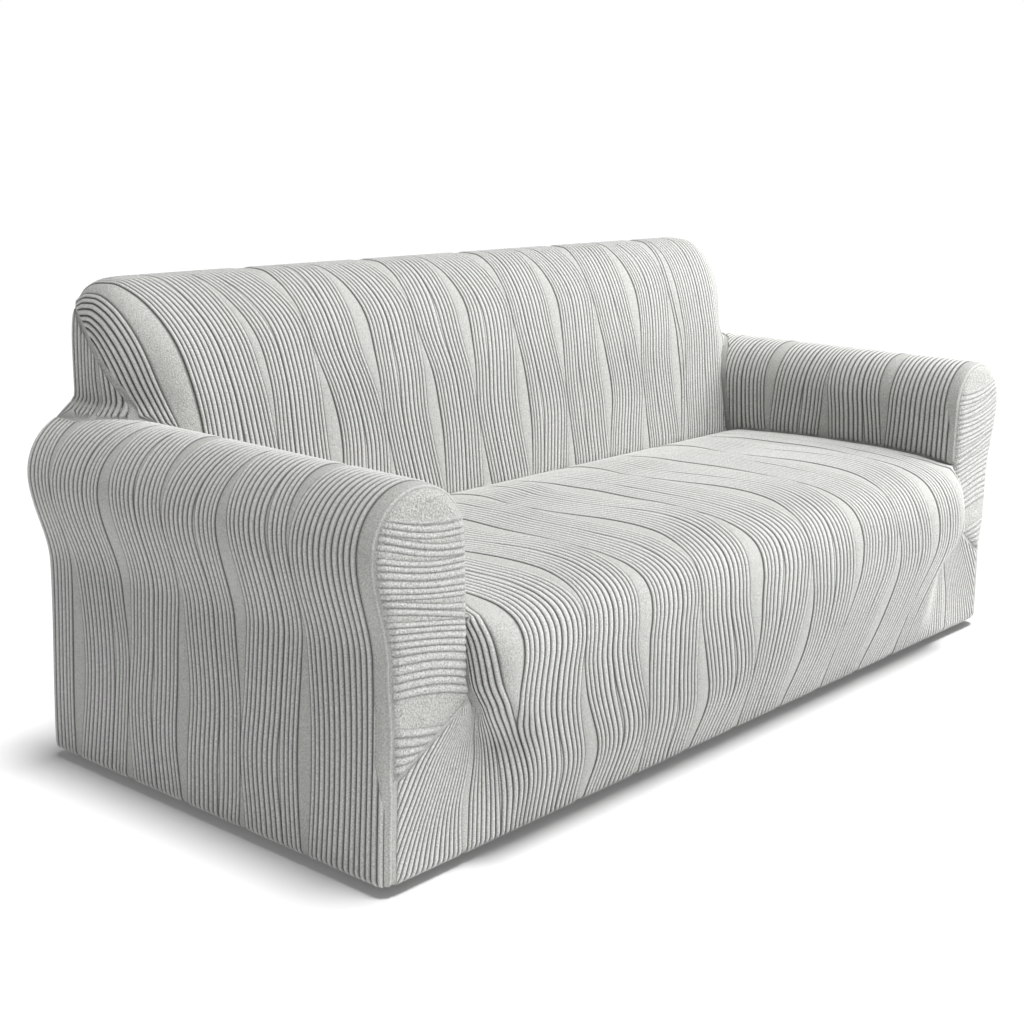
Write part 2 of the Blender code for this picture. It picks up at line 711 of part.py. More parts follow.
def whole_row(half):
    """A row from the left seam to the right one, from its right half."""
    return mirrored(half)[:0:-1] + half


def inside_back_panel():
    count = len(ARM_ROWS) - MITRE_ROW + len(BACK_PROFILE) - BACK_CORE_POINT
    rows = range(1, count - 1)
    lines = [whole_row(back_row(row)) for row in rows]
    lengths = path_lengths([line[len(line) // 2] for line in lines])
    shares, relief = rib_columns(2.0 * INNER_HALF, lengths, first_leaf=0.7)
    ends = np.array([0.006, 0.02, 0.035, 0.05, 0.07])
    outer, inner = [], []
    for line, places in zip(lines, shares):
        places = np.concatenate([[0.006], 0.012 + 0.976 * places, [0.994]])
        outer.append(resampled(line, places))
        inner.append(resampled(line, [*ends, 0.1, 0.35, 0.65, 0.9, *(1.0 - ends[::-1])]))
    right = [*inner_rear_seam()[::-1], *gusset_mitre_seam()[1:]]
    seams = [crease_seam()[::-1], right, top_seam(), mirrored(right)[::-1]]
    relief = np.concatenate([[0.0], relief, [0.0]])
    return Panel("inside_back", outer, relief, inner, seams, SEAT_COLOUR)


def back_end_panel():
    mitre = np.array(gusset_mitre_seam())
    rear = gusset_rear_seam()
    low, high = REAR_END_Z[0], REAR_END_Z[-1] - 0.012
    outer, inner = [], []
    for z in np.linspace(low, high, 9):
        front = float(np.interp(z, mitre[:, 2], mitre[:, 1])) + 0.006
        back = REAR_SEAM_Y - 0.004
        line = []
        for y in np.linspace(front, back, 9):
            past = max(y - (DEPTH - REAR_EDGE), 0.0)
            x = end_x(y, z) - REAR_EDGE + math.sqrt(REAR_EDGE**2 - past**2)
            line.append(np.array([x, y, z]))
        outer.append(line)
        inner.append(line[::2])
    relief = RIB_HEIGHT * (np.arange(9) % 2)
    seams = [foot_seam()[::-1], rear[:-1], [rear[-2], mitre[-1], mitre[-2]], list(mitre[-2::-1])]
    return Panel("back_end", outer, relief, inner, seams, ARM_COLOUR)


def outside_back_panel():
    rows = [*range(1, HEM_ROW + 1), *range(HEM_ROW + 2, FOOT_ROW, 2), FOOT_ROW]
    turns = [REAR_TURN + (0.5 * math.pi - REAR_TURN) * (1.0 - share) for share in TURN]
    ends = [[turned(row, DEPTH - REAR_EDGE, REAR_EDGE, turn, 1) for turn in turns] for row in rows]
    for z in REAR_END_Z[1:]:
        x = end_x(REAR_SEAM_Y, z) - REAR_EDGE
        ends.append([np.array([x + REAR_EDGE * math.cos(turn),
                               DEPTH - REAR_EDGE + REAR_EDGE * math.sin(turn), z]) for turn in turns])
    lengths = [end[-1][2] for end in ends]
    shares, relief = rib_columns(2.0 * HALF_WIDTH, lengths, first_leaf=0.4, pitch=REAR_RIB_PITCH)
    outer, inner = [], []
    for end, places in zip(ends, shares):
        flat = end[-1]
        far = mirrored([flat])[0]
        places = 0.01 + 0.98 * places
        middle = [flat + (far - flat) * at for at in places]
        plain = [flat + (far - flat) * at for at in (0.01, 0.25, 0.5, 0.75, 0.99)]
        outer.append([*end, *middle, *mirrored(end)[::-1]])
        inner.append([*end, *plain, *mirrored(end)[::-1]])
    right = [*arm_rear_seam(), *gusset_rear_seam()[1:]]
    hem = [np.array([x, DEPTH - HEM_TURN, 0.0]) for x in (0.5, 0.0, -0.5)]
    seams = [[right[0], *hem, mirrored(right)[0]], mirrored(right), top_seam()[::-1], right[::-1]]
    relief = np.concatenate([np.zeros(3), relief, np.zeros(3)])
    return Panel("outside_back", outer, relief, inner, seams, ARM_COLOUR)


# ---------------------------------------------------------------- objects


def cloth_material(name, colour):
    material = bpy.data.materials.new(name)
    material.use_nodes = True
    shader = material.node_tree.nodes["Principled BSDF"]
    shader.inputs["Base Color"].default_value = colour
    shader.inputs["Roughness"].default_value = CLOTH_ROUGHNESS
    shader.inputs["Metallic"].default_value = 0.0
    return material


def cloth_object(name, sheet, side, colour, parent):
    """The sheet as an object: side is -1 for the left-hand copy of a right-hand panel."""
    spots = [(side * spot[0], spot[1], spot[2]) for spot in sheet.spots]
    faces = [face if side > 0 else face[::-1] for face in sheet.faces]
    mesh = bpy.data.meshes.new(name)
    mesh.from_pydata(spots, [], [[int(k) for k in face] for face in faces])
    work = bmesh.new()
    work.from_mesh(mesh)
    bmesh.ops.triangulate(work, faces=work.faces)
    work.to_mesh(mesh)
    work.free()
    mesh.shade_smooth()
    mesh.set_sharp_from_angle(angle=math.radians(40.0))
    mesh.materials.append(cloth_material(name + "_cloth", colour))
    made = bpy.data.objects.new(name, mesh)
    made.parent = parent
    bpy.context.scene.collection.objects.link(made)
    return made


def main():
    for old in list(bpy.data.objects):
        bpy.data.objects.remove(old, do_unlink=True)
    hold = bpy.data.objects.new("held_at_back_top", None)
    hold.location = (0.0, -TOP_Y, CLOTH - TOP_Z)
    bpy.context.scene.collection.objects.link(hold)
    paired = [arm_panel(), arm_front_panel(), back_end_panel()]
    single = [seat_panel(), inside_back_panel(), outside_back_panel()]
    through = seam_directions(paired + single)
    for key, step in list(through.items()):
        if key[0] > 0.0:
            through[(-key[0], *key[1:])] = step * np.array([-1.0, 1.0, 1.0])
    for panel in single:
        cloth_object(panel.name, closed_sheet(panel, through), 1, panel.colour, hold)
    for panel in paired:
        sheet = closed_sheet(panel, through)
        cloth_object(panel.name + "_right", sheet, 1, panel.colour, hold)
        cloth_object(panel.name + "_left", sheet, -1, panel.colour, hold)


if __name__ == "__main__":
    main()
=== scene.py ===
"""The looks of a fitted sofa cover: ribbed stretch knit over every panel, lit on a plain pale stage.

Each cut panel of the cover is a thin closed sheet. Its shape is drawn in a working frame with z = 0 at
the hem, y = 0 at the front and x = 0 in the middle, and is then moved so that the world origin lies
under the middle of the back's top, where the sofa holds the cover up.
"""

import functools
import math
from typing import NamedTuple

import bmesh
import bpy
import numpy as np
from bpy.props import FloatProperty, FloatVectorProperty, PointerProperty
from mathutils import Matrix, Vector


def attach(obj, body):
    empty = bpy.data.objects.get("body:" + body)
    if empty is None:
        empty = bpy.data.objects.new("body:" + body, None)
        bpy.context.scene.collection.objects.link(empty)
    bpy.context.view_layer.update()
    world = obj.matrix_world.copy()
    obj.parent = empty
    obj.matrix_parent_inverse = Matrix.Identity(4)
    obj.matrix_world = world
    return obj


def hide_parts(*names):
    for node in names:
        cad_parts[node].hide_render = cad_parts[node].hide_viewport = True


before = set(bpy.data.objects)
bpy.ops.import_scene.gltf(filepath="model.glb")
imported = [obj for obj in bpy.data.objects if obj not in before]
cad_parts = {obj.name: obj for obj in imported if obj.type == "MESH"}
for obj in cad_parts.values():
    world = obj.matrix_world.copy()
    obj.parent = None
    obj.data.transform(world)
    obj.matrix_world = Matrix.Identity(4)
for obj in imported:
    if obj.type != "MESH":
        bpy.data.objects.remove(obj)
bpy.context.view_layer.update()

bl_info = {
    "name": "Ribbed Sofa Cover",
    "version": (1, 0, 0),
    "blender": (4, 5, 0),
    "location": "3D View > Sidebar > Sofa Cover",
    "description": "Sews the ribbed panels of a fitted sofa cover and lights them",
    "category": "Add Mesh",
}

# ---------------------------------------------------------------- sizes of the covered sofa, in metres

HALF_WIDTH = 1.000  # outer side at the hem
DEPTH = 0.903  # front hem to rear hem
INNER_HALF = 0.8146  # inside face of an arm
CLOTH = 0.0018
SEAM_GAP = 0.0003  # between two panels along their seam
HEM_RADIUS = 0.014
HEM_TURN = 0.018  # from the outer face to the free edge of the turned-under hem

ROLL_X = 0.9185  # middle of an arm's roll
ROLL_Z = (0.528, 0.531)  # front, rear
ROLL_RADIUS = (0.102, 0.108)  # front, rear
NECK_X = 0.990  # where an arm's side ends and bends out to the roll
NECK_Z = 0.360
FRONT_EDGE = 0.022  # radius of the edge between an arm's side and its front
REAR_EDGE = 0.020
FRONT_SWELL = 0.008  # how far an arm's front stands forward above the mitre
FRONT_CROWN = 0.004  # and its middle beyond its edges
SIDE_LEAN = 0.03  # how much an arm's side faces upwards
FOOT_TURN = 64.5  # degrees round an arm's roll where it meets the outside back
MITRE_TURN = 95.0  # and where it meets the gusset's mitre
FRONT_TOP_TURNS = (74.0, 112.0)  # degrees between which an arm front's top row lies

MITRE_TOP_Z = 0.273
POINT_Z = 0.172  # where the mitre of the arm front meets the outer edge
POINT_X = 0.976
TURN_HEIGHTS = (0.150, 0.330)  # between these the front seam moves round an arm's edge
TURN_ANGLES = (80.0, 45.0)  # by so many degrees of it
MITRE_CORNER_IN = 0.008  # place of the mitre's upper corner, from the arm's inside face and its front
MITRE_CORNER_BACK = 0.004
MITRE_STOPS = (0.35, 0.70)  # shares of the mitre at which it lies on the arm front's face
RECESS_Y = 0.0163  # how far the seat's end tucks in behind the arm front
RECESS_Z = (0.380, 0.340, 0.300)
RECESS_OUT = 0.0008

SEAT_PROFILE = (
    (0.619, 0.405), (0.608, 0.408), (0.560, 0.417), (0.460, 0.424), (0.320, 0.427),
    (0.180, 0.425), (0.080, 0.418), (0.012, 0.406), (-0.027, 0.386), (-0.050, 0.352),
    (-0.058, 0.312), (-0.0585, 0.287), (-0.058, 0.264), (-0.055, 0.235), (-0.050, 0.205),
    (-0.043, 0.172), (-0.029, 0.118), (-0.012, 0.058), (0.0, 0.014),
)
SEAT_NOSE = 7  # the profile's point over the seat's front edge
SEAT_END_RADIUS = 0.055  # rounding of the nose's ends beside the recess
SEAT_END_POWER = 2.2  # 2 is a circle, and more is squarer
SEAT_EDGE_SOFTNESS = 0.08  # width in which the seat falls to its sides
SEAT_EDGE_SINK = 0.004
SEAT_SINK_FADE = (0.50, 0.60)  # depths between which the sink fades out towards the rear
RECESS_RISE = 0.036  # height in which the skirt draws back into the recess
RECESS_START = 0.3
FOLD_LEAN = 0.030  # how far the fold beside the mitre moves in towards the hem

BACK_PROFILE = (
    (0.619, 0.405), (0.640, 0.540), (0.660, 0.660), (0.675, 0.710), (0.694, 0.762),
    (0.724, 0.813), (0.766, 0.855), (0.812, 0.876), (0.847, 0.878), (0.878, 0.868),
    (0.893, 0.855), (0.898, 0.846),
)
BACK_FACE_POINTS = 8  # points of the profile on the back's front face
BACK_LEAN = (  # a rib's place at the top of the inside back, and how far it has moved in at the crease
    (0.0, 0.42, 0.66, 0.80, 0.95, 1.3),
    (0.0, 0.025, 0.075, 0.10, 0.12, 0.12),
)
CREASE_Y, CREASE_Z = BACK_PROFILE[0]
TOP_Y, TOP_Z = 0.832, 0.8771

END_START_X = 0.780  # where the back's ends start to round off
END_REACH = 0.155  # from there to the outer face
CORE_Y, CORE_Z = DEPTH, 0.640  # point of the side view from which the rounding runs out
END_POWER = (2.2, 6.0)  # its squareness on the front face, and over the top
FLARE = 0.030  # how far the ends spread at their foot
FLARE_Z = (0.632, 0.670)
MITRE_CONTROL = (0.789, 0.755)  # depth and height of the point that bends the gusset's mitre
MITRE_END_SHARE = 0.93  # of the way from the core to the rear seam, where the mitre ends
END_TAPER = 0.018  # how far the ends draw in towards the rear
END_TAPER_RUN = 0.15
FOOT_STEPS = 12  # rounds in which the depth of an arm's foot seam is found
REAR_TURN = math.radians(45.0)  # how far the arms and gussets reach round the rear edge
GUSSET_REAR_Z = (0.646, 0.668, 0.705, 0.755, 0.800)

CREASE_XS = (0.75, 0.4, 0.1)  # where the seams across the sofa are level
TOP_XS = (0.78, 0.4, 0.1)
FRONT_HEM_XS = (0.9, 0.2)
REAR_HEM_XS = (0.9, 0.4, 0.1)

WORLD_SHIFT = np.array([0.0, -TOP_Y, CLOTH - TOP_Z])
MIRROR = np.array([-1.0, 1.0, 1.0])

# ---------------------------------------------------------------- how finely the cloth is drawn

ROW_STEP = 0.0125  # most from one row of points to the next
ROW_TURN = math.radians(9.0)  # most that a row may turn from the next
SEAM_STEP = 0.009
PROFILE_STEP = 0.0005
OUTLINE_STEP = 0.002
SEAM_MARGIN = 0.0032  # from a seam to the first line of points beside it
SEAM_DIP_DEPTH = 0.0010  # from the cloth's face down to the outer edge of a seam
DIP_RUN = 0.008  # width over which the cloth dips to a seam
ROW_FADE = 0.0045  # length over which ribs start and end at a seam
RIB_FADE = (0.002, 0.005)  # distances from a side seam between which ribs grow to their full height
LINE_GAP = 0.001  # from the last line beside a seam to the first rib line
COLUMNS_SHUT = 1e-7  # step between columns that have run together
TINY = 1e-12
NEARLY_ONE = 0.99999
LEAST_RADIUS = 1e-4
SEAM_KEY_DIGITS = 6  # decimals of a metre to which two panels' seam vertices are the same
WELD = 1e-6
LEAST_FACING = 0.5  # limits how far a step through the cloth grows at a sharp seam
BARE_STEP = 0.006  # between lines of points on the plain cloth beside a seam
EDGE_STEPS = 7  # points round a turned edge
RUN_STEPS = 120  # points along an arm's straight run
ARC_STEPS = 60  # points along a row of a gusset or round an end of the back
GUSSET_STEPS = 34
HEM_SKIP = 12  # points of an arm's hem row to each vertex of its seam
LINING_EDGE = np.array([0.003, 0.008, 0.014, 0.022, 0.032])
LINING_STEP = 0.023
LINING_BUNCH = 0.65  # share of the lining's columns that gathers towards the seams
EDGE_OFFSETS = np.array([0.0, 0.003, 0.0065, 0.0105])  # lines of points beside a seam
WELT_INSET = 0.0045  # from a seam to the ridge beside it
WELT_WIDTH = 0.0026


# ---------------------------------------------------------------- settings that a user would change


class KnitSettings(bpy.types.PropertyGroup):
    """Sizes of the ribs and of the plain leaves between them."""

    rib_pitch: FloatProperty(
        name="Rib pitch", description="Groove to groove where no leaf is open",
        default=0.0118, unit="LENGTH")
    rib_rise: FloatProperty(
        name="Rib rise", description="Height of a rib over the plain cloth",
        default=0.0020, unit="LENGTH")
    groove_depth: FloatProperty(
        name="Groove depth", description="Depth of a groove below the plain cloth",
        default=0.0011, unit="LENGTH")
    leaf_width: FloatProperty(
        name="Leaf width", description="Plain cloth across the widest part of a leaf",
        default=0.037, unit="LENGTH")
    leaf_spacing: FloatProperty(
        name="Leaf spacing", description="From one line of leaves to the next",
        default=0.154, unit="LENGTH")
    leaf_period: FloatProperty(
        name="Leaf period", description="Length in which a line of leaves repeats",
        default=0.46, unit="LENGTH")
    sliver_width: FloatProperty(
        name="Sliver width", description="Plain cloth in the small gaps between two lines of leaves",
        default=0.005, unit="LENGTH")
    sliver_period: FloatProperty(
        name="Sliver period", description="Length in which the small gaps repeat",
        default=0.42, unit="LENGTH")
    sway: FloatProperty(
        name="Sway", description="How far the ribs wander from side to side",
        default=0.0025, unit="LENGTH")
    seam_dip: FloatProperty(
        name="Seam dip", description="How far a seam is drawn in",
        default=0.0010, unit="LENGTH")


class ColourSettings(bpy.types.PropertyGroup):
    """Colours of the knit: the grooves' colours are painted shade, and the crests' colours carry a painted
    highlight over the yarn's own tone.
    """

    # Crest colour: the yarn's tone with a painted highlight, paler than the plain cloth.
    rib: FloatVectorProperty(
        name="Rib", description="Colour of the ribs' crests", subtype="COLOR", size=4,
        default=(0.74, 0.742, 0.722, 1.0))
    leaf: FloatVectorProperty(
        name="Leaf", description="Colour of the plain cloth", subtype="COLOR", size=4,
        default=(0.58, 0.585, 0.56, 1.0))
    # Painted shade: the dark groove colour stands in for the shade that falls between the ribs.
    groove: FloatVectorProperty(
        name="Groove", description="Colour at the bottom of a groove", subtype="COLOR", size=4,
        default=(0.06, 0.061, 0.057, 1.0))
    # Painted shade in the arms' grooves, lighter than the other panels' groove colour, which is darker to
    # make up for the shade that the light from above leaves out.
    arm_groove_shade: FloatVectorProperty(
        name="Arm groove", description="Colour at the bottom of a groove on an arm",
        subtype="COLOR", size=4, default=(0.10, 0.101, 0.096, 1.0))
    # Looped crest colour: the yarn's tone with a painted highlight.
    looped_rib: FloatVectorProperty(
        name="Looped rib", description="Colour of the looped ribs' crests", subtype="COLOR", size=4,
        default=(0.66, 0.662, 0.645, 1.0))
    # Painted shade in the looped grooves of the arm fronts.
    looped_groove_shade: FloatVectorProperty(
        name="Looped groove", description="Colour at the bottom of a groove between looped ribs",
        subtype="COLOR", size=4, default=(0.38, 0.382, 0.37, 1.0))


class StageSettings(bpy.types.PropertyGroup):
    """Floor, light and camera."""

    floor_drop: FloatProperty(
        name="Floor drop", description="From the hem down to the floor", default=0.016, unit="LENGTH")
    key_strength: FloatProperty(
        name="Key strength", description="Strength of the light from above", default=2.7)
    key_softness: FloatProperty(
        name="Key softness", description="Angle that the light from above fills", default=0.5,
        unit="ROTATION")
    floor_strength: FloatProperty(
        name="Floor strength", description="Strength of the floor's own light", default=3.2)
    floor_softness: FloatProperty(
        name="Floor softness", description="Angle that the floor's light fills", default=0.32,
        unit="ROTATION")
    side_power: FloatProperty(
        name="Side power", description="Power of the soft light at the front right", default=110.0)
    fill_strength: FloatProperty(
        name="Fill strength", description="Strength of the light from all round", default=0.05)


# ---------------------------------------------------------------- curves


def smooth(share):
    share = np.clip(share, 0.0, 1.0)
    return share * share * (3.0 - 2.0 * share)


def mix(pair, share):
    return pair[0] + (pair[1] - pair[0]) * share


def eased(at, xs, ys):
    """A smooth curve through points, without overshoot between them."""
    xs, ys = np.asarray(xs, dtype=float), np.asarray(ys, dtype=float)
    run = np.diff(xs)
    slope = np.diff(ys) / run
    tangent = np.concatenate([slope[:1], np.zeros(len(xs) - 2), slope[-1:]])
    before, after = slope[:-1], slope[1:]
    same = before * after > 0.0
    tangent[1:-1][same] = (2.0 * before * after)[same] / (before + after)[same]
    at = np.clip(at, xs[0], xs[-1])
    k = np.clip(np.searchsorted(xs, at, side="right") - 1, 0, len(run) - 1)
    t = (at - xs[k]) / run[k]
    return ((1 + 2 * t) * (1 - t) ** 2 * ys[k] + t * (1 - t) ** 2 * run[k] * tangent[k]
            + t * t * (3 - 2 * t) * ys[k + 1] + t * t * (t - 1) * run[k] * tangent[k + 1])


def path_lengths(spots):
    steps = np.linalg.norm(np.diff(np.asarray(spots), axis=0), axis=1)
    return np.concatenate([[0.0], np.cumsum(steps)])


def eased_path(spots, at):
    """Points at lengths along a smooth curve through spots."""
    spots = np.asarray(spots, dtype=float)
    lengths = path_lengths(spots)
    return np.stack([eased(at, lengths, spots[:, axis]) for axis in range(spots.shape[1])], axis=-1)


def fine_path(spots, step=SEAM_STEP):
    """A smooth curve through spots, with points about a step apart and both ends kept."""
    total = path_lengths(spots)[-1]
    return list(eased_path(spots, np.linspace(0.0, total, max(int(round(total / step)), 1) + 1)))


def row_places(spots, first, last):
    """Lengths along a profile at which rows lie: closer together where it bends."""
    total = path_lengths(spots)[-1]
    at = np.linspace(0.0, total, int(total / PROFILE_STEP))
    line = eased_path(spots, at)
    heading = np.unwrap(np.arctan2(*np.gradient(line, axis=0).T[::-1]))
    bend = np.abs(np.gradient(heading, at))
    measure = np.maximum(1.0 / ROW_STEP, bend / ROW_TURN)
    count = np.concatenate([[0.0], np.cumsum(0.5 * (measure[1:] + measure[:-1]) * np.diff(at))])
    start, stop = np.interp((first, total - last), at, count)
    return np.interp(np.linspace(start, stop, int(round(stop - start)) + 1), count, at)


# ---------------------------------------------------------------- the covered sofa's surfaces


def back_face_y(z):
    table = np.array(BACK_PROFILE[:BACK_FACE_POINTS])
    return eased(z, table[:, 1], table[:, 0])


def end_power(angle):
    return END_POWER[0] + (END_POWER[1] - END_POWER[0]) * np.sin(angle) ** 2


def flare(z):
    return FLARE * np.clip((FLARE_Z[1] - z) / (FLARE_Z[1] - FLARE_Z[0]), 0.0, 1.0) ** 2


def end_reach(y, z):
    """How far the back's end stands out from where its rounding starts."""
    rear = smooth((y - DEPTH + END_TAPER_RUN) / END_TAPER_RUN)
    return END_REACH + flare(z) - END_TAPER * rear * (1.0 - flare(z) / FLARE)


def back_outline():
    """The back's outline above the core in polar form: angles from the core, and radii."""
    line = np.array(fine_path(BACK_PROFILE, OUTLINE_STEP))
    line = line[line[:, 1] >= CORE_Z]
    start = CORE_Y - float(back_face_y(CORE_Z))
    angles = np.arctan2(line[:, 1] - CORE_Z, CORE_Y - line[:, 0])
    radii = np.hypot(line[:, 1] - CORE_Z, CORE_Y - line[:, 0])
    return np.concatenate([[0.0], angles]), np.concatenate([[start], radii])


def end_x(y, z):
    """Outer face of the back's right end over a point of its side view."""
    angles, radii = back_outline()
    y, z = np.broadcast_arrays(np.asarray(y, dtype=float), np.asarray(z, dtype=float))
    angle = np.arctan2(np.maximum(z - CORE_Z, 0.0), np.maximum(CORE_Y - y, TINY))
    high = np.hypot(z - CORE_Z, CORE_Y - y) / np.interp(angle, angles, radii)
    low = (CORE_Y - y) / (CORE_Y - back_face_y(np.minimum(z, CORE_Z)))
    share = np.clip(np.where(z > CORE_Z, high, low), 0.0, 1.0)
    power = end_power(np.where(z > CORE_Z, angle, 0.0))
    return END_START_X + end_reach(y, z) * (1.0 - share**power) ** (1.0 / power)


def foot_y(x, z):
    """Depth at which an arm's surface point meets the back."""
    power = END_POWER[0]
    run = CORE_Y - back_face_y(z)
    y = CORE_Y - run
    for _ in range(FOOT_STEPS):
        across = np.clip((x - END_START_X) / end_reach(y, z), 0.0, 1.0)
        y = CORE_Y - run * (1.0 - across**power) ** (1.0 / power)
    return y


def seat_edge_z(y):
    """Height of the crease between the seat and an arm."""
    table = np.array(SEAT_PROFILE[: SEAT_NOSE + 1])[::-1]
    start, stop = SEAT_SINK_FADE
    sunk = smooth((stop - np.asarray(y)) / (stop - start))
    return eased(y, table[:, 0], table[:, 1]) - SEAT_EDGE_SINK * sunk


# ---------------------------------------------------------------- the arm, row by row


def arm_rows():
    """Rows of an arm's section: the stretch that a row lies on, and its place along it."""
    rows = [("flap", 0.0), ("hem", 0.0)]
    for stretch, start, stop, count in (
            ("hem", 0.0, 90.0, 4), ("side", 0.0, 0.5, 15), ("side", 0.5, 1.0, 18), ("neck", 0.0, 1.0, 17),
            ("roll", 0.0, FOOT_TURN, 12), ("roll", FOOT_TURN, MITRE_TURN, 8),
            ("roll", MITRE_TURN, 180.0, 16), ("inside", 0.0, 1.0, 12)):
        rows += [(stretch, place) for place in np.linspace(start, stop, count + 1)[1:]]
    return rows


ARM_ROWS = arm_rows()
FOOT_ROW = ARM_ROWS.index(("roll", FOOT_TURN))
MITRE_ROW = ARM_ROWS.index(("roll", MITRE_TURN))
POINT_ROW = ARM_ROWS.index(("side", 0.5))
HEM_ROW = ARM_ROWS.index(("hem", 90.0))


def roll_row(turn):
    """The row of an arm's roll that is nearest to a turn in degrees."""
    rows = [row for row, (stretch, _) in enumerate(ARM_ROWS) if stretch == "roll"]
    return min(rows, key=lambda row: abs(ARM_ROWS[row][1] - turn))


def arm_point(row, y):
    """Outer surface of the right arm at a row and depths: x, z and the outward normal's x, z."""
    stretch, place = ARM_ROWS[row]
    y = np.asarray(y, dtype=float)
    share = np.clip(y / DEPTH, 0.0, 1.0)
    one = np.ones_like(y)
    radius, roll_z = mix(ROLL_RADIUS, share), mix(ROLL_Z, share)
    if stretch == "flap":
        return (HALF_WIDTH - HEM_TURN) * one, 0.0 * one, 0.0 * one, -one
    if stretch == "hem":
        across, down = math.sin(math.radians(place)), math.cos(math.radians(place))
        return (one * (HALF_WIDTH - HEM_RADIUS * (1 - across)), one * HEM_RADIUS * (1 - down),
                one * across, -one * down)
    if stretch == "side":
        z = float(np.interp(place, (0.0, 0.5, 1.0), (HEM_RADIUS, POINT_Z, NECK_Z)))
        x = HALF_WIDTH - (HALF_WIDTH - NECK_X) * float(smooth(z / NECK_Z))
        return one * x, one * z, one, SIDE_LEAN * one
    if stretch == "neck":
        run_x, run_z = ROLL_X + radius - NECK_X, roll_z - NECK_Z
        slope = 6.0 * place * (1.0 - place) * run_x
        size = np.hypot(slope, run_z)
        return (NECK_X + run_x * smooth(place), NECK_Z + run_z * place, run_z / size, -slope / size)
    if stretch == "roll":
        across, up = math.cos(math.radians(place)), math.sin(math.radians(place))
        return ROLL_X + radius * across, roll_z + radius * up, one * across, one * up
    start = ROLL_X - radius
    x = start + (INNER_HALF - start) * smooth(place)
    return x, roll_z + (seat_edge_z(y) - roll_z) * place, -one, 0.0 * one


def swell_y(z):
    """Depth of an arm's front face at a height, before its crown."""
    return -FRONT_SWELL * smooth((z - POINT_Z) / (MITRE_TOP_Z - POINT_Z))


def arm_line(row):
    """One row of the arm as its places across and its points, from the front seam to the rear one.

    A place is the depth on the straight run, and goes on at true length round the edges."""
    front, rear = arm_ends(row)
    z = float(arm_point(row, 0.0)[1])
    turn = math.radians(float(np.interp(z, TURN_HEIGHTS, TURN_ANGLES)))
    lead = [(front - FRONT_EDGE * angle, turned(row, front, FRONT_EDGE, angle, -1))
            for angle in np.linspace(turn, 0.0, EDGE_STEPS)[:-1]]
    depths = np.linspace(front, rear, RUN_STEPS)
    x, z = arm_point(row, depths)[:2]
    run = list(zip(depths, np.stack([x, depths, z], axis=-1)))
    tail = []
    if row <= FOOT_ROW:
        tail = [(rear + REAR_EDGE * angle, turned(row, rear, REAR_EDGE, angle, 1))
                for angle in np.linspace(0.0, REAR_TURN, EDGE_STEPS)[1:]]
    whole = lead + run + tail
    return np.array([place for place, _ in whole]), np.array([spot for _, spot in whole])


def turned(row, y, radius, angle, facing):
    """A point on the rounded edge at the front (facing -1) or rear (+1) of an arm."""
    x, z, across, up = (float(value) for value in arm_point(row, y))
    if row < HEM_ROW:
        flat = radius - (HALF_WIDTH - x)
        return np.array([HALF_WIDTH - radius + flat * math.cos(angle),
                         y + facing * flat * math.sin(angle), z])
    inward = radius * (1.0 - math.cos(angle))
    return np.array([x - across * inward, y + facing * radius * math.sin(angle), z - up * inward])


def arm_ends(row):
    """The depths between which an arm's row runs straight."""
    x, z = (float(value) for value in arm_point(row, DEPTH)[:2])
    front = float(swell_y(z)) + FRONT_EDGE
    if row <= FOOT_ROW:
        return front, DEPTH - REAR_EDGE
    if row == len(ARM_ROWS) - 1:
        return front, CREASE_Y
    rear = float(foot_y(x, z))
    x, z = (float(value) for value in arm_point(row, rear)[:2])
    return front, float(foot_y(x, z))


# ---------------------------------------------------------------- seams that two panels share


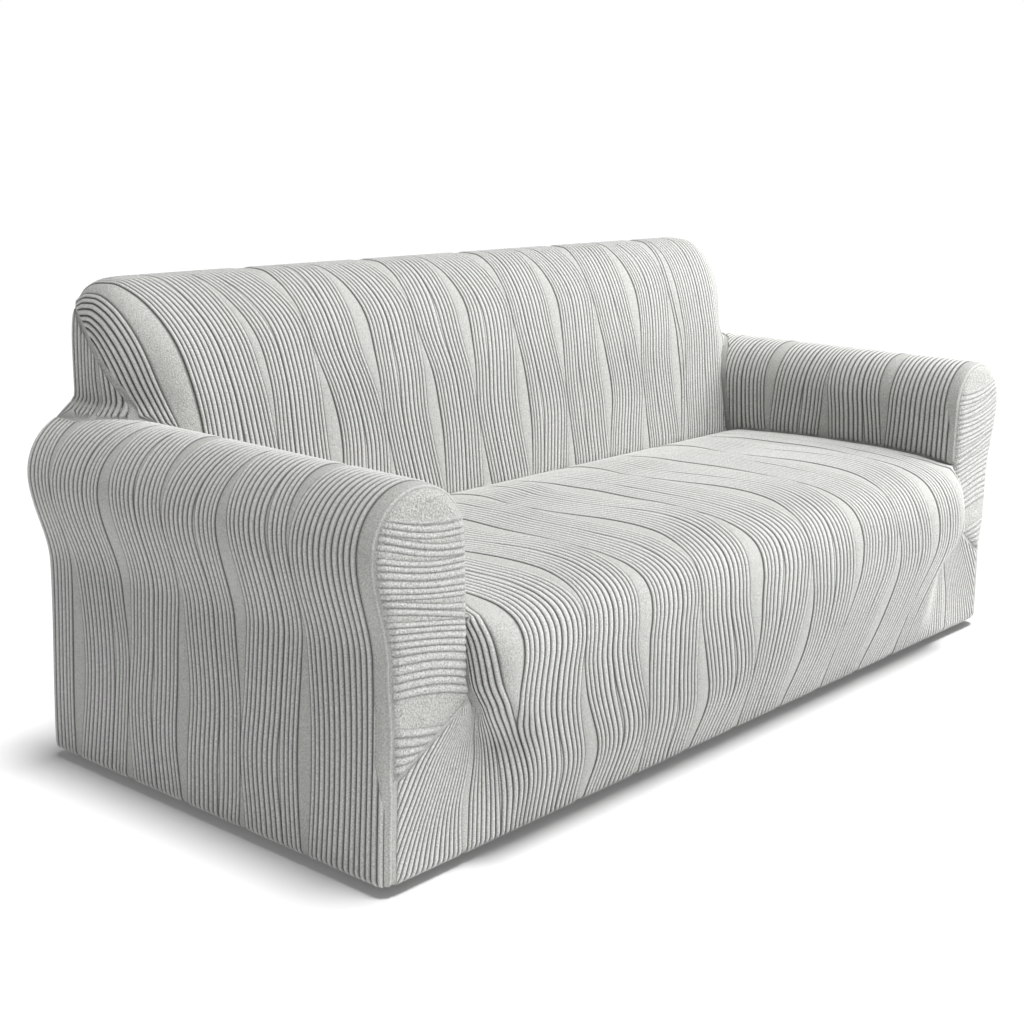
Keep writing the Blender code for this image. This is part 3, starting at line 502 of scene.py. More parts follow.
class Seams:
    """The seam lines of the right half, each as a list of points."""

    def __init__(self):
        lines = [arm_line(row)[1] for row in range(len(ARM_ROWS))]
        fronts = [line[0] for line in lines]
        rears = [line[-1] for line in lines]
        self.arm_front = fronts[POINT_ROW:]
        self.skirt = fronts[: POINT_ROW + 1]
        self.arm_rear = rears[: FOOT_ROW + 1]
        self.foot = rears[FOOT_ROW: MITRE_ROW + 1]
        self.inner_rear = rears[MITRE_ROW:]
        self.arm_hem = list(lines[0][::HEM_SKIP])
        if np.linalg.norm(self.arm_hem[-1] - rears[0]) > WELD:
            self.arm_hem.append(rears[0])
        self.recess, self.mitre = self.front_mitre()
        self.seat_side = self.side_of_seat()
        self.gusset_mitre = self.mitre_of_gusset()
        self.gusset_rear = self.rear_of_gusset()

    def front_mitre(self):
        """Arm front to seat: down the recess from the seat's nose, then out along the mitre."""
        top = self.arm_front[-1]
        down = [np.array([INNER_HALF + RECESS_OUT, RECESS_Y, z]) for z in RECESS_Z]
        corner_y = float(swell_y(MITRE_TOP_Z)) + MITRE_CORNER_BACK
        corner = np.array([INNER_HALF + MITRE_CORNER_IN, corner_y, MITRE_TOP_Z])
        point = self.arm_front[0]
        along = [corner + (point - corner) * share for share in MITRE_STOPS]
        for spot in along:
            spot[1] = float(swell_y(spot[2]))
        return fine_path([top, *down, corner]), fine_path([corner, *along, point])

    def side_of_seat(self):
        """Seat to arm, from the rear crease forward to the nose."""
        front, rear = self.arm_front[-1], self.inner_rear[-1]
        depths = np.linspace(CREASE_Y, SEAT_PROFILE[SEAT_NOSE - 1][0], ARC_STEPS)[1:]
        middle = [np.array([INNER_HALF, y, float(seat_edge_z(y))]) for y in depths]
        return [rear, *middle, *fine_path([middle[-1], front])[1:]]

    def mitre_of_gusset(self):
        """Gusset to inside back, from the arm up to the rear top."""
        start = self.inner_rear[0]
        core = np.array([CORE_Y, CORE_Z])
        end = core + MITRE_END_SHARE * (np.array(BACK_PROFILE[-1]) - core)
        shares = np.linspace(0.0, 1.0, GUSSET_STEPS)[:, None]
        curve = ((1 - shares) ** 2 * start[1:] + 2 * shares * (1 - shares) * np.array(MITRE_CONTROL)
                 + shares**2 * end)
        xs = end_x(curve[:, 0], curve[:, 1])
        return [start, *[np.array([x, *spot]) for x, spot in zip(xs[1:], curve[1:])]]

    def rear_of_gusset(self):
        """Gusset to outside back, from the foot up to the mitre's end."""
        y = DEPTH - REAR_EDGE * (1.0 - math.sin(REAR_TURN))
        inward = REAR_EDGE * (1.0 - math.cos(REAR_TURN))
        middle = [np.array([float(end_x(y, z)) - inward, y, z]) for z in GUSSET_REAR_Z]
        return fine_path([self.foot[0], *middle, self.gusset_mitre[-1]])


def mirrored(spots):
    return [spot * MIRROR for spot in spots]


def crossing(right_end, xs, y, z):
    """A seam across the sofa, right to left, from its right end and then level through the xs."""
    half = [right_end, *(np.array([x, y, z]) for x in xs)]
    return fine_path([*half, *mirrored(half)[::-1]])


def crease_seam(seams):
    return crossing(seams.inner_rear[-1], CREASE_XS, CREASE_Y, CREASE_Z)


def top_seam(seams):
    return crossing(seams.gusset_mitre[-1], TOP_XS, *BACK_PROFILE[-1])


def at_height(line, z, axis=0):
    """One coordinate, x if no other is asked for, of the point of a line of points at a height."""
    line = np.asarray(line)
    return float(np.interp(z, line[:, 2], line[:, axis]))


# ---------------------------------------------------------------- ribs and leaves


class Leaf(NamedTuple):
    """A line of plain leaves that runs along a panel between the ribs."""

    place: float  # across the panel
    widest_at: float  # a length along the panel at which a leaf is widest
    width: float
    period: float  # length in which the leaves repeat
    once: bool = False  # whether the line has one leaf alone


class RibLayout:
    """Where the rib lines lie across a panel, row by row.

    Bands of ribs part round plain leaves, each pointed at both ends. Each rib has five lines of points
    and each leaf four: across gives their places, height their share of the rib's rise (0 in a groove),
    and plain how far a point lies in a leaf."""

    RIB_LINES = ((0.0, 0.0), (0.13, 0.45), (0.36, 1.0), (0.63, 1.0), (0.87, 0.48))
    RIB_SPREAD = (0.92, 1.10)  # least and greatest width of a rib, as shares of the mean
    NARROWEST = 0.82  # share of a rib's width that it has beside a leaf
    WIDENING = 0.28  # what it gains away from one
    WIDENING_RIBS = 4.5  # within so many ribs
    DRIFT = 0.03  # share by which a rib's width changes along it
    DRIFT_PERIOD = 0.7
    LEAF_LINES = ((0.0, 0.0), (0.12, 1.0), (0.5, 1.0), (0.88, 1.0))
    LEAF_SPREAD = (0.88, 1.1)
    LEAF_LEVEL = 0.36  # height of the plain cloth, as a share of the ribs' rise
    LEAF_SHUT = 0.0010  # width of a leaf's line where it is shut
    LEAF_OPEN = 0.007  # width from which a leaf is fully plain
    LEAF_POINT = 1.7  # more makes a leaf's ends longer and thinner
    LEAF_STRAY = 0.12  # radians by which a leaf may lie off its even place
    SLIVER_STRAY = 1.5  # ribs by which a small gap may lie off the middle between two lines of leaves
    OPEN_FROM = 0.05  # share of a leaf's wave that stays shut
    FILL = 0.91  # share of the width that is ribs
    EDGE_CALM = 0.12  # within this of a seam the ribs sway less
    SWAY_PERIODS = (0.62, 0.9)  # along the ribs, and across them
    FAR = 99.0  # ribs to the next leaf where there is none

    def __init__(self, knit, width, along, leaves, seed):
        """The layout over a width, at the lengths along the panel at which its rows lie."""
        along = np.asarray(along, dtype=float)
        dice = np.random.default_rng(seed)
        widths, is_rib = self.bands(knit, width, along, leaves, dice)
        starts = np.cumsum(widths, axis=0) - widths
        lines, heights, plain = [], [], []
        for rib, start, size in zip(is_rib, starts, widths):
            open_share = smooth(size / self.LEAF_OPEN)
            for share, level in self.RIB_LINES if rib else self.LEAF_LINES:
                lines.append(start + share * size)
                heights.append(level + 0.0 * size if rib else level * self.LEAF_LEVEL * open_share)
                plain.append(0.0 * size if rib else level * open_share)
        flat = np.zeros_like(along)
        self.across = np.array([*lines, flat + width]).T
        self.height = np.array([*heights, flat]).T
        self.plain = np.array([*plain, flat]).T
        calm = smooth(np.minimum(self.across, width - self.across) / self.EDGE_CALM)
        down, over = self.SWAY_PERIODS
        wave = 2.0 * math.pi * (along[:, None] / down + self.across / over + dice.uniform())
        self.across = self.across + knit.sway * calm * np.sin(wave)

    def bands(self, knit, width, along, leaves, dice):
        """Widths of the ribs, leaves and small gaps in their order, row by row, and which are ribs."""
        ribs = int(round(width * self.FILL / knit.rib_pitch))
        at_leaf = {int(round(leaf.place * ribs / width)): leaf for leaf in leaves}
        places = sorted(at_leaf)
        slivers = [int(0.5 * (a + b) + dice.uniform(-self.SLIVER_STRAY, self.SLIVER_STRAY))
                   for a, b in zip(places[:-1], places[1:])]
        widths, is_rib = [], []
        for rib in range(ribs):
            if rib in at_leaf and rib > 0:
                widths.append(self.leaf_widths(along, at_leaf[rib], dice))
                is_rib.append(False)
            elif rib in slivers:
                wave = np.sin(2.0 * math.pi * (along / knit.sliver_period + dice.uniform()))
                widths.append(self.LEAF_SHUT + knit.sliver_width * np.clip(wave, 0.0, 1.0) ** 2)
                is_rib.append(False)
            near = min([abs(rib + 0.5 - place) for place in places] + [self.FAR])
            mean = self.NARROWEST + self.WIDENING * float(smooth(near / self.WIDENING_RIBS))
            weight = mean * dice.uniform(*self.RIB_SPREAD)
            drift = np.sin(2.0 * math.pi * (along / self.DRIFT_PERIOD + dice.uniform()))
            widths.append(weight * knit.rib_pitch * (1.0 + self.DRIFT * drift))
            is_rib.append(True)
        widths, is_rib = np.array(widths), np.array(is_rib)
        spare = width - widths[~is_rib].sum(axis=0)
        widths[is_rib] *= spare / widths[is_rib].sum(axis=0)
        return widths, is_rib

    def leaf_widths(self, along, leaf, dice):
        turn = math.pi * (along - leaf.widest_at) / leaf.period
        turn = turn + dice.uniform(-self.LEAF_STRAY, self.LEAF_STRAY)
        if leaf.once:
            turn = np.clip(turn, -0.5 * math.pi, 0.5 * math.pi)
        wave = np.abs(np.cos(turn))
        opened = np.clip((wave - self.OPEN_FROM) / (1.0 - self.OPEN_FROM), 0.0, 1.0) ** self.LEAF_POINT
        return self.LEAF_SHUT + leaf.width * dice.uniform(*self.LEAF_SPREAD) * opened


def leaf_rows(knit, width, place, widest_at, stretch=1.0):
    """Lines of leaves at even steps across a width, by turns half a period apart, one at a place."""
    period = knit.leaf_period * stretch
    count = int(place / knit.leaf_spacing)
    first = place - count * knit.leaf_spacing
    return [Leaf(first + k * knit.leaf_spacing, widest_at + 0.5 * period * ((k - count) % 2),
                 knit.leaf_width, period)
            for k in range(int((width - first) / knit.leaf_spacing) + 1)]


def both_sides(leaves, middle):
    """Lines of leaves given for the right half, on both sides of a panel's middle."""
    return [leaf._replace(place=middle + side * leaf.place) for leaf in leaves for side in (-1, 1)]


# ---------------------------------------------------------------- panels as closed sheets


class Panel(NamedTuple):
    """One cut piece: its outer grid with relief, a plainer inner grid, and its four seams.

    across x along points out of the sofa. The seams follow the sides of the grid in turn: first
    row, last column, last row back, first column back, each from corner to corner."""

    name: str
    outer: np.ndarray
    relief: np.ndarray
    height: np.ndarray
    plain: np.ndarray
    inner: np.ndarray
    seams: list


def at_places(line, places):
    """Points of a row at places across."""
    across, spots = line
    return np.stack([np.interp(places, across, spots[:, axis]) for axis in range(3)], axis=-1)


def both_halves(places, points):
    """A row across the sofa from its right half, which starts in the middle."""
    return np.concatenate([-places[:0:-1], places]), np.concatenate([points[:0:-1] * MIRROR, points])


def rib_relief(knit, height):
    """How far the cloth stands out from its plain level at a share of the ribs' rise."""
    return (knit.rib_rise + knit.groove_depth) * (height - RibLayout.LEAF_LEVEL)


def framed_ribs(layout, start, low, high, bare, edge):
    """Places, rib heights and plainness row by row: the ribs between lines of plain cloth."""
    inset = SEAM_MARGIN + edge
    reach = float(inset[-1]) + LINE_GAP
    places = np.clip(layout.across + start, low + reach, high - reach)
    cut = np.minimum(layout.across + start - low - bare, high - layout.across - start)
    shown = smooth((cut - RIB_FADE[0]) / (RIB_FADE[1] - RIB_FADE[0]))
    lead, tail = low + inset, high - inset[::-1]
    if bare.max() > reach:
        extra = np.arange(reach, float(bare.max()), BARE_STEP)
        lead = np.hstack([lead, np.minimum(low + extra, places[:, :1])])
    height = np.hstack([np.zeros_like(lead), layout.height * shown, np.zeros_like(tail)])
    plain = np.hstack([np.ones_like(lead), layout.plain * shown + (1.0 - shown), np.ones_like(tail)])
    height = np.where(plain > 0.0, np.maximum(height, RibLayout.LEAF_LEVEL * plain), height)
    return np.hstack([lead, places, tail]), height, plain


def lining_grid(lines, low, high, lining_rows):
    """The inner grid: every so many rows, with columns that gather towards the seams."""
    turn = np.linspace(0.0, math.pi, int(round(float((high - low).max()) / LINING_STEP)))
    shares = LINING_BUNCH * 0.5 * (1.0 - np.cos(turn)) + (1.0 - LINING_BUNCH) * turn / math.pi
    inner = []
    for row in [*range(0, len(lines) - 1, lining_rows), len(lines) - 1]:
        first, last = float(low[row, 0]), float(high[row, 0])
        gather = LINING_EDGE * min((last - first) / (3.0 * LINING_EDGE[-1]), 1.0)
        middle = first + gather[-1] + (last - first - 2.0 * gather[-1]) * shares[1:-1]
        places = np.concatenate([first + gather, middle, last - gather[::-1]])
        inner.append(at_places(lines[row], places))
    return np.array(inner)


def ribbed_panel(name, knit, lines, along, layout, start, seams, bare=0.0, welt=0.0, lining_rows=2,
                 edge=EDGE_OFFSETS[:2]):
    """A panel from its rows.

    start is the place where the rib layout begins, bare the width of plain cloth beside the first seam,
    row by row, welt the height of the ridge along that seam, and edge the offsets of the lines of points
    beside a seam."""
    low = np.array([line[0][0] for line in lines])[:, None]
    high = np.array([line[0][-1] for line in lines])[:, None]
    bare = np.broadcast_to(bare, len(lines))[:, None]
    places, height, plain = framed_ribs(layout, start, low, high, bare, edge)
    row_inset = np.minimum(along, along[-1] + SEAM_MARGIN - along)[:, None]
    seam_inset = np.minimum(np.minimum(places - low, high - places), row_inset)
    relief = rib_relief(knit, height) * smooth(row_inset / ROW_FADE)
    relief = relief - knit.seam_dip * (1.0 - smooth(seam_inset / DIP_RUN))
    if welt:
        ridge = np.exp(-((places - low - WELT_INSET) / WELT_WIDTH) ** 2)
        relief = relief + ridge * welt
        # Painted highlight along the welt: its ridge takes the crest colour, with a little painted groove
        # shade at its sides.
        height = np.maximum(height, ridge)
        plain = plain * (1.0 - ridge)
    outer = np.array([at_places(line, place) for line, place in zip(lines, places)])
    inner = lining_grid(lines, low, high, lining_rows)
    return Panel(name, outer, relief, height, plain, inner, seams)


def grid_normals(grid):
    """Outward directions at the points of a grid, also where columns have run together."""
    across = np.gradient(grid, axis=1)
    along = np.gradient(grid, axis=0)
    shut = np.linalg.norm(across, axis=2) < COLUMNS_SHUT
    for row in np.flatnonzero(shut.any(axis=1)):
        bad, good = np.flatnonzero(shut[row]), np.flatnonzero(~shut[row])
        beside = good[np.abs(good[None, :] - bad[:, None]).argmin(axis=1)]
        across[row, bad] = across[row, beside]
    normal = np.cross(across, along)
    return normal / np.maximum(np.linalg.norm(normal, axis=2, keepdims=True), TINY)


def sides_of(index):
    """The four sides of a grid of indices, in the order of a panel's seams."""
    return [list(index[0, :]), list(index[:, -1]), list(index[-1, ::-1]), list(index[::-1, 0])]


def nearest(spots, spot):
    return int(np.argmin(np.linalg.norm(spots - spot, axis=1)))


def seam_key(spot):
    return tuple(np.round(spot, SEAM_KEY_DIGITS))


def seam_directions(panels):
    """The step through the cloth at each seam vertex, shared by the panels that meet there."""
    found = {}
    for panel in panels:
        spots = panel.outer.reshape(-1, 3)
        normals = grid_normals(panel.outer).reshape(-1, 3)
        index = np.arange(len(spots)).reshape(panel.outer.shape[:2])
        for seam, line in zip(panel.seams, sides_of(index)):
            for spot in seam:
                at = line[nearest(spots[line], spot)]
                found.setdefault(seam_key(spot), []).append(normals[at])
    steps = {}
    for key, normals in found.items():
        mean = np.sum(normals, axis=0)
        mean /= np.linalg.norm(mean)
        facing = max(min(float(mean @ normal) for normal in normals), LEAST_FACING)
        steps[key] = -mean / facing
    for key, step in list(steps.items()):
        if key[0] > 0.0:
            steps[(-key[0], *key[1:])] = step * MIRROR
    return steps


def insets(loop, corners, outer):
    """The small step from each seam vertex into its own panel."""
    spots = outer.reshape(-1, 3)
    lines = sides_of(np.arange(len(spots)).reshape(outer.shape[:2]))
    steps = []
    for k, spot in enumerate(loop):
        side = sum(1 for corner in corners if corner <= k) - 1
        line = spots[lines[side]]
        if k in corners:
            step = line[0] - spot
            size = 0.5 * SEAM_GAP * math.sqrt(2.0)
        else:
            step = line[nearest(line, spot)] - spot
            tangent = loop[(k + 1) % len(loop)] - loop[k - 1]
            step = step - tangent * float(step @ tangent) / float(tangent @ tangent)
            size = 0.5 * SEAM_GAP
        steps.append(step / max(np.linalg.norm(step), TINY) * size)
    return np.array(steps)


def select_only(made):
    bpy.ops.object.select_all(action="DESELECT")
    made.select_set(True)
    bpy.context.view_layer.objects.active = made


def laid_grid(name, points, height, plain):
    """A grid primitive with its points laid out on a surface."""
    bpy.ops.object.select_all(action="DESELECT")
    rows, columns = points.shape[:2]
    bpy.ops.mesh.primitive_grid_add(x_subdivisions=columns - 1, y_subdivisions=rows - 1)
    made = bpy.context.object
    made.name = name
    made.data.vertices.foreach_set("co", points.reshape(-1))
    # The rib height drives the relief and, in the material, the painted groove shade and crest highlight.
    for field, values in (("rib", height), ("plain", plain)):
        layer = made.data.attributes.new(field, "FLOAT", "POINT")
        layer.data.foreach_set("value", np.ascontiguousarray(values, dtype=np.float32).reshape(-1))
    made.data.update()
    return made


def add_strip(work, first, second, flip):
    """Triangles between two lines of vertices that run the same way."""
    verts = work.verts
    a = b = 0
    while a < len(first) - 1 or b < len(second) - 1:
        step_a = step_b = math.inf
        if a < len(first) - 1:
            step_a = (verts[first[a + 1]].co - verts[second[b]].co).length
        if b < len(second) - 1:
            step_b = (verts[second[b + 1]].co - verts[first[a]].co).length
        if step_a <= step_b:
            corners = [first[a], first[a + 1], second[b]]
            a += 1
        else:
            corners = [first[a], second[b + 1], second[b]]
            b += 1
        corners = corners[::-1] if flip else corners
        work.faces.new([verts[corner] for corner in corners])


def joined_grids(panel):
    """The outer and inner faces of a panel as one object, still apart."""
    raised = panel.outer + grid_normals(panel.outer) * panel.relief[..., None]
    lining = panel.inner - grid_normals(panel.inner) * CLOTH
    made = laid_grid(panel.name, raised, panel.height, panel.plain)
    flat = np.zeros(panel.inner.shape[:2])
    inside = laid_grid(panel.name + "_inner", lining, flat, flat + 1.0)
    inside.data.flip_normals()
    select_only(made)
    inside.select_set(True)
    bpy.ops.object.join()
    return bpy.context.object


def close_border(work, panel, through):
    """Joins each face of a panel to a loop of seam vertices, and the two loops by a rim."""
    loop = np.array([spot for seam in panel.seams for spot in seam[:-1]])
    starts = [0, *np.cumsum([len(seam) - 1 for seam in panel.seams])]
    step = np.array([through[seam_key(spot)] for spot in loop])
    edge = loop + insets(loop, starts[:-1], panel.outer)
    grids = []
    for grid, before in ((panel.outer, 0), (panel.inner, panel.relief.size)):
        rows, columns = grid.shape[:2]
        grids.append(before + np.arange(rows * columns).reshape(rows, columns))
    loops = [[len(work.verts) + k + shift for k in range(len(loop))] for shift in (0, len(loop))]
    plain = work.verts.layers.float["plain"]
    for spot in [*(edge + step * SEAM_DIP_DEPTH), *(edge + step * CLOTH)]:
        work.verts.new(spot)[plain] = 1.0
    work.verts.ensure_lookup_table()
    for side in range(4):
        span = [at % len(loop) for at in range(starts[side], starts[side + 1] + 1)]
        for border, grid, flip in zip(loops, grids, (False, True)):
            add_strip(work, [border[at] for at in span], sides_of(grid)[side], flip)
    outer_loop, inner_loop = loops
    for k, spot in enumerate(outer_loop):
        after = (k + 1) % len(loop)
        corners = [outer_loop[after], spot, inner_loop[k], inner_loop[after]]
        rim = work.faces.new([work.verts[corner] for corner in corners])
        for line in rim.edges:
            line.smooth = False
    bmesh.ops.remove_doubles(work, verts=work.verts, dist=WELD)


def sewn_sheet(panel, through, side):
    """A panel as one closed sheet, for the right (1) or left (-1) half, at its place in the world."""
    made = joined_grids(panel)
    work = bmesh.new()
    work.from_mesh(made.data)
    close_border(work, panel, through)
    if side < 0:
        for vert in work.verts:
            vert.co.x = -vert.co.x
        bmesh.ops.reverse_faces(work, faces=work.faces)
    bmesh.ops.translate(work, vec=Vector(WORLD_SHIFT), verts=work.verts)
    work.to_mesh(made.data)
    work.free()
    made.data.shade_smooth()
    return made


# ---------------------------------------------------------------- the nine panels


ARM_RIBS_START = -0.006  # depth at which an arm's rib layout begins
ARM_LEAF = (0.345, 0.47)  # depth of a line of leaves, and the length from the hem at which one is widest
ARM_LEAF_STRETCH = 1.3
ARM_LEAF_FROM = 0.07  # no leaf nearer than this to an arm's front or rear
ARM_MIDDLE_Y = 0.4  # depth at which the lengths over an arm are measured
ARM_BARE = (0.010, 0.028, 0.012)  # plain cloth at an arm's front: low down, outside and over, inside
BARE_BLEND_ROWS = 4  # rows to each side over which its width is evened out
ARM_WELT = 0.0020


def bare_width(row, z):
    """Width of the plain cloth at the front of an arm's row."""
    low, outside, inside = ARM_BARE
    if z < POINT_Z:
        return low
    return inside if ARM_ROWS[row][0] == "inside" else outside


def arm_panel(knit, seams):
    rows = range(1, len(ARM_ROWS) - 1)
    lines = [arm_line(row) for row in rows]
    middle = [at_places(arm_line(row), np.array([ARM_MIDDLE_Y]))[0] for row in range(len(ARM_ROWS))]
    along = path_lengths(middle)[1:-1]
    width = DEPTH - ARM_RIBS_START
    depth, widest_at = ARM_LEAF
    leaves = leaf_rows(knit, width, depth - ARM_RIBS_START, widest_at, stretch=ARM_LEAF_STRETCH)
    leaves = [leaf for leaf in leaves if ARM_LEAF_FROM < leaf.place < DEPTH - ARM_LEAF_FROM]
    layout = RibLayout(knit, width, along, leaves, seed=11)
    bare = [bare_width(row, middle[row][2]) for row in rows]
    span = 2 * BARE_BLEND_ROWS + 1
    bare = np.convolve(np.pad(bare, BARE_BLEND_ROWS, mode="edge"), np.full(span, 1.0 / span), mode="valid")
    borders = [seams.arm_hem, [*seams.arm_rear, *seams.foot[1:], *seams.inner_rear[1:]],
               seams.seat_side, [*seams.skirt, *seams.arm_front[1:]][::-1]]
    return ribbed_panel("arm", knit, lines, along, layout, ARM_RIBS_START, borders, bare=bare,
                        welt=ARM_WELT, edge=EDGE_OFFSETS)


FRONT_START = 0.014  # from the mitre's point up to the first rib of an arm front
FRONT_STOP = 0.003  # from its last rib up to the seam
FRONT_TOP_Z = 0.578  # plain cloth above this
FRONT_BAND_Z = (0.250, 0.292)  # and between these
FRONT_BAND_FADE = 0.003
FRONT_RELIEF = 0.65  # share of the other panels' relief
FRONT_TILT = 0.015  # a rib's outer end stands this much above its middle
FRONT_ARCH = (  # heights, and how far the middle of a rib stands above its ends there
    (0.186, 0.250, 0.310, 0.430, 0.560, 0.640),
    (-0.004, 0.0, 0.010, 0.0, -0.008, -0.004),
)
FRONT_FADE = 0.05  # near its first and last row an arm front's ribs are straight
FRONT_WIDTH = 0.19  # and where it is narrower than this they are straighter
FRONT_RIM = 0.03  # share of the width in which the ribs rise from the seam
FRONT_ACROSS = 0.16  # length of a rib
FRONT_SHARES = np.concatenate(  # places across at which an arm front's points lie
    [[0.0, 0.03, 0.07, 0.12], np.linspace(0.18, 0.82, 11), [0.88, 0.93, 0.97, 1.0]])
FRONT_GAPS = ((0.424, 0.16), (0.440, 0.0), (0.520, 0.16), (0.547, 0.0))  # height, place across
FRONT_GAP_WIDTH = 0.011
FRONT_GAP_PERIOD = 0.34
FRONT_LINING_SKIP = (4, 2)  # rows and columns of the outer grid to each of the inner one


def outline_distance(outline, spots):
    """Distance in the front view from points to an open outline."""
    a, b = outline[:-1], outline[1:]
    run = b - a
    offset = spots[:, None, :] - a[None]
    share = np.clip((offset * run[None]).sum(axis=2) / (run * run).sum(axis=1)[None], 0.0, 1.0)
    return np.linalg.norm(offset - run[None] * share[..., None], axis=2).min(axis=1)


def arm_front_row(rib_z, low, high, outside, inside, rim):
    """A row of an arm front, from its inner edge to its outer one, along heights that ribs take."""
    middle = float(rib_z.mean())
    fade = float(smooth(min(middle - low, high - middle) / FRONT_FADE))
    fade *= min((at_height(outside, middle) - at_height(inside, middle)) / FRONT_WIDTH, 1.0)
    tilt = FRONT_TILT * fade
    right = at_height(outside, middle + tilt) - SEAM_MARGIN
    left = at_height(inside, middle - tilt) + SEAM_MARGIN
    x = left + (right - left) * FRONT_SHARES
    bow = np.sin(math.pi * FRONT_SHARES)
    arch = float(eased(middle, *FRONT_ARCH)) * bow
    z = middle + (2.0 * FRONT_SHARES - 1.0) * tilt + (arch + rib_z - middle) * fade
    depth = np.maximum(FRONT_EDGE - outline_distance(rim, np.stack([x, z], axis=-1)), 0.0)
    y = swell_y(z) + FRONT_EDGE - np.sqrt(FRONT_EDGE**2 - depth**2) - FRONT_CROWN * bow
    return np.stack([x, y, z], axis=-1)


def arm_front_panel(knit, seams):
    edge = np.array(seams.arm_front)
    mitre = np.array([*seams.recess, *seams.mitre[1:]])
    out_top, in_top = (roll_row(turn) - POINT_ROW for turn in FRONT_TOP_TURNS)
    outside, inside = edge[: out_top + 2], np.array([*mitre[:0:-1], *edge[:in_top - 1:-1]])
    rim = np.array([[float(value) for value in arm_point(row, 0.0)[:2]]
                    for row in range(POINT_ROW, len(ARM_ROWS))] + [(INNER_HALF, RECESS_Z[-1])])
    low, high = POINT_Z + FRONT_START, float(edge[in_top][2]) - FRONT_STOP
    leaves = [Leaf(z - low, at, FRONT_GAP_WIDTH, FRONT_GAP_PERIOD) for z, at in FRONT_GAPS]
    along = np.linspace(0.0, FRONT_ACROSS, len(FRONT_SHARES))
    layout = RibLayout(knit, high - low, along, leaves, seed=5)
    zs = low + layout.across.T
    outer = np.array([arm_front_row(rib_z, low, high, outside, inside, rim) for rib_z in zs])
    below, above = FRONT_BAND_Z
    band = smooth((zs - below) / FRONT_BAND_FADE) * smooth((above - zs) / FRONT_BAND_FADE)
    bare = np.maximum(smooth((zs - FRONT_TOP_Z) / FRONT_BAND_FADE), band)
    height = layout.height.T * (1.0 - bare) + RibLayout.LEAF_LEVEL * bare
    rise = smooth(np.minimum(FRONT_SHARES, 1.0 - FRONT_SHARES) / FRONT_RIM)
    relief = FRONT_RELIEF * rib_relief(knit, height) * rise
    row_skip, column_skip = FRONT_LINING_SKIP
    inner = outer[[*range(0, len(outer) - 1, row_skip), len(outer) - 1]][:, ::column_skip]
    borders = [list(mitre[-2:]), list(edge[: out_top + 1]), list(edge[out_top: in_top + 1]),
               [*edge[in_top:], *mitre[1:-1]]]
    return Panel("arm_front", outer, relief, height, np.maximum(layout.plain.T, bare), inner, borders)


def seat_row_profile():
    """The seat's profile with its hem turned under."""
    hem = [(HEM_RADIUS * (1 - math.sin(turn)), HEM_RADIUS * (1 - math.cos(turn)))
           for turn in np.radians((60.0, 30.0, 0.0))]
    return [*SEAT_PROFILE, *hem, (HEM_TURN, 0.0)]


def skirt_half(z):
    """Half width of the seat panel at a height on the front."""
    along = (MITRE_TOP_Z - z) / (MITRE_TOP_Z - POINT_Z)
    return INNER_HALF + (POINT_X - INNER_HALF) * float(np.clip(along, 0.0, 1.0))


def seat_points(y, z, past_nose, x):
    """Points of the seat panel over a spot of its profile, at distances x from the middle.

    past_nose is 0 on the seat, 1 on the front, and between them at the nose."""
    inset = np.maximum(INNER_HALF - np.abs(x), 0.0)
    top_z = z + (float(seat_edge_z(y)) - z) * (1.0 - smooth(inset / SEAT_EDGE_SOFTNESS))
    below = float(smooth((MITRE_TOP_Z - z) / (MITRE_TOP_Z - POINT_Z)))
    fold = INNER_HALF - FOLD_LEAN * below
    share = np.minimum(np.maximum(fold - np.abs(x), 0.0) / (SEAT_END_RADIUS * (1.0 + below)), 1.0)
    rounded = (1.0 - (1.0 - share) ** SEAT_END_POWER) ** (1.0 / SEAT_END_POWER)
    full = rounded + (smooth(share) - rounded) * below
    recess = float(smooth((z - MITRE_TOP_Z) / RECESS_RISE + RECESS_START))
    flat = float(swell_y(z)) + (RECESS_Y - float(swell_y(z))) * recess
    skirt_y = flat + (y - flat) * full
    if z <= HEM_RADIUS:
        skirt_y = np.full_like(x, y)
    return np.stack([x, y + (skirt_y - y) * past_nose, z + (top_z - z) * (1.0 - past_nose)], axis=-1)


SKIRT_REACH = 1.08  # place of the last rib of the skirt, which ends below the arm front's point
FAN_HEIGHTS = (0.0, 0.08, 0.17, 0.25, 0.29, 0.40)
RIB_FAN = (  # a rib's distance out along the hem, and then along the row at each other height
    (0.000, 0.000, 0.000, 0.000, 0.000, 0.000),
    (0.200, 0.208, 0.222, 0.234, 0.238, 0.240),
    (0.500, 0.511, 0.532, 0.552, 0.560, 0.566),
    (0.670, 0.683, 0.706, 0.738, 0.746, 0.758),
    (0.728, 0.741, 0.756, 0.802, 0.815, 0.822),
    (0.763, 0.766, 0.776, 0.818, 0.840, 0.850),
    (0.821, 0.820, 0.808, 0.826, 0.852, 0.876),
    (0.919, 0.898, 0.864, 0.843, 0.870, 0.895),
    (1.000, 0.960, 0.915, 0.877, 0.900, 0.920),
    (SKIRT_REACH, 1.038, 0.990, 0.955, 0.965, 0.975),
)
FAN_SPLIT = (0.60, 16, 160)  # rows are drawn more finely outside this x: points within it, and past it
FAN_STEPS = 400
SEAT_LEAVES = (0.355, 0.71)  # from the middle to a line of leaves, and where one is widest
SEAT_LEAVES_TO = 0.60  # no such line further out
SEAT_END_LEAVES = (Leaf(0.67, 0.66, 0.048, 0.36, once=True), Leaf(0.821, 0.93, 0.018, 0.46, once=True))


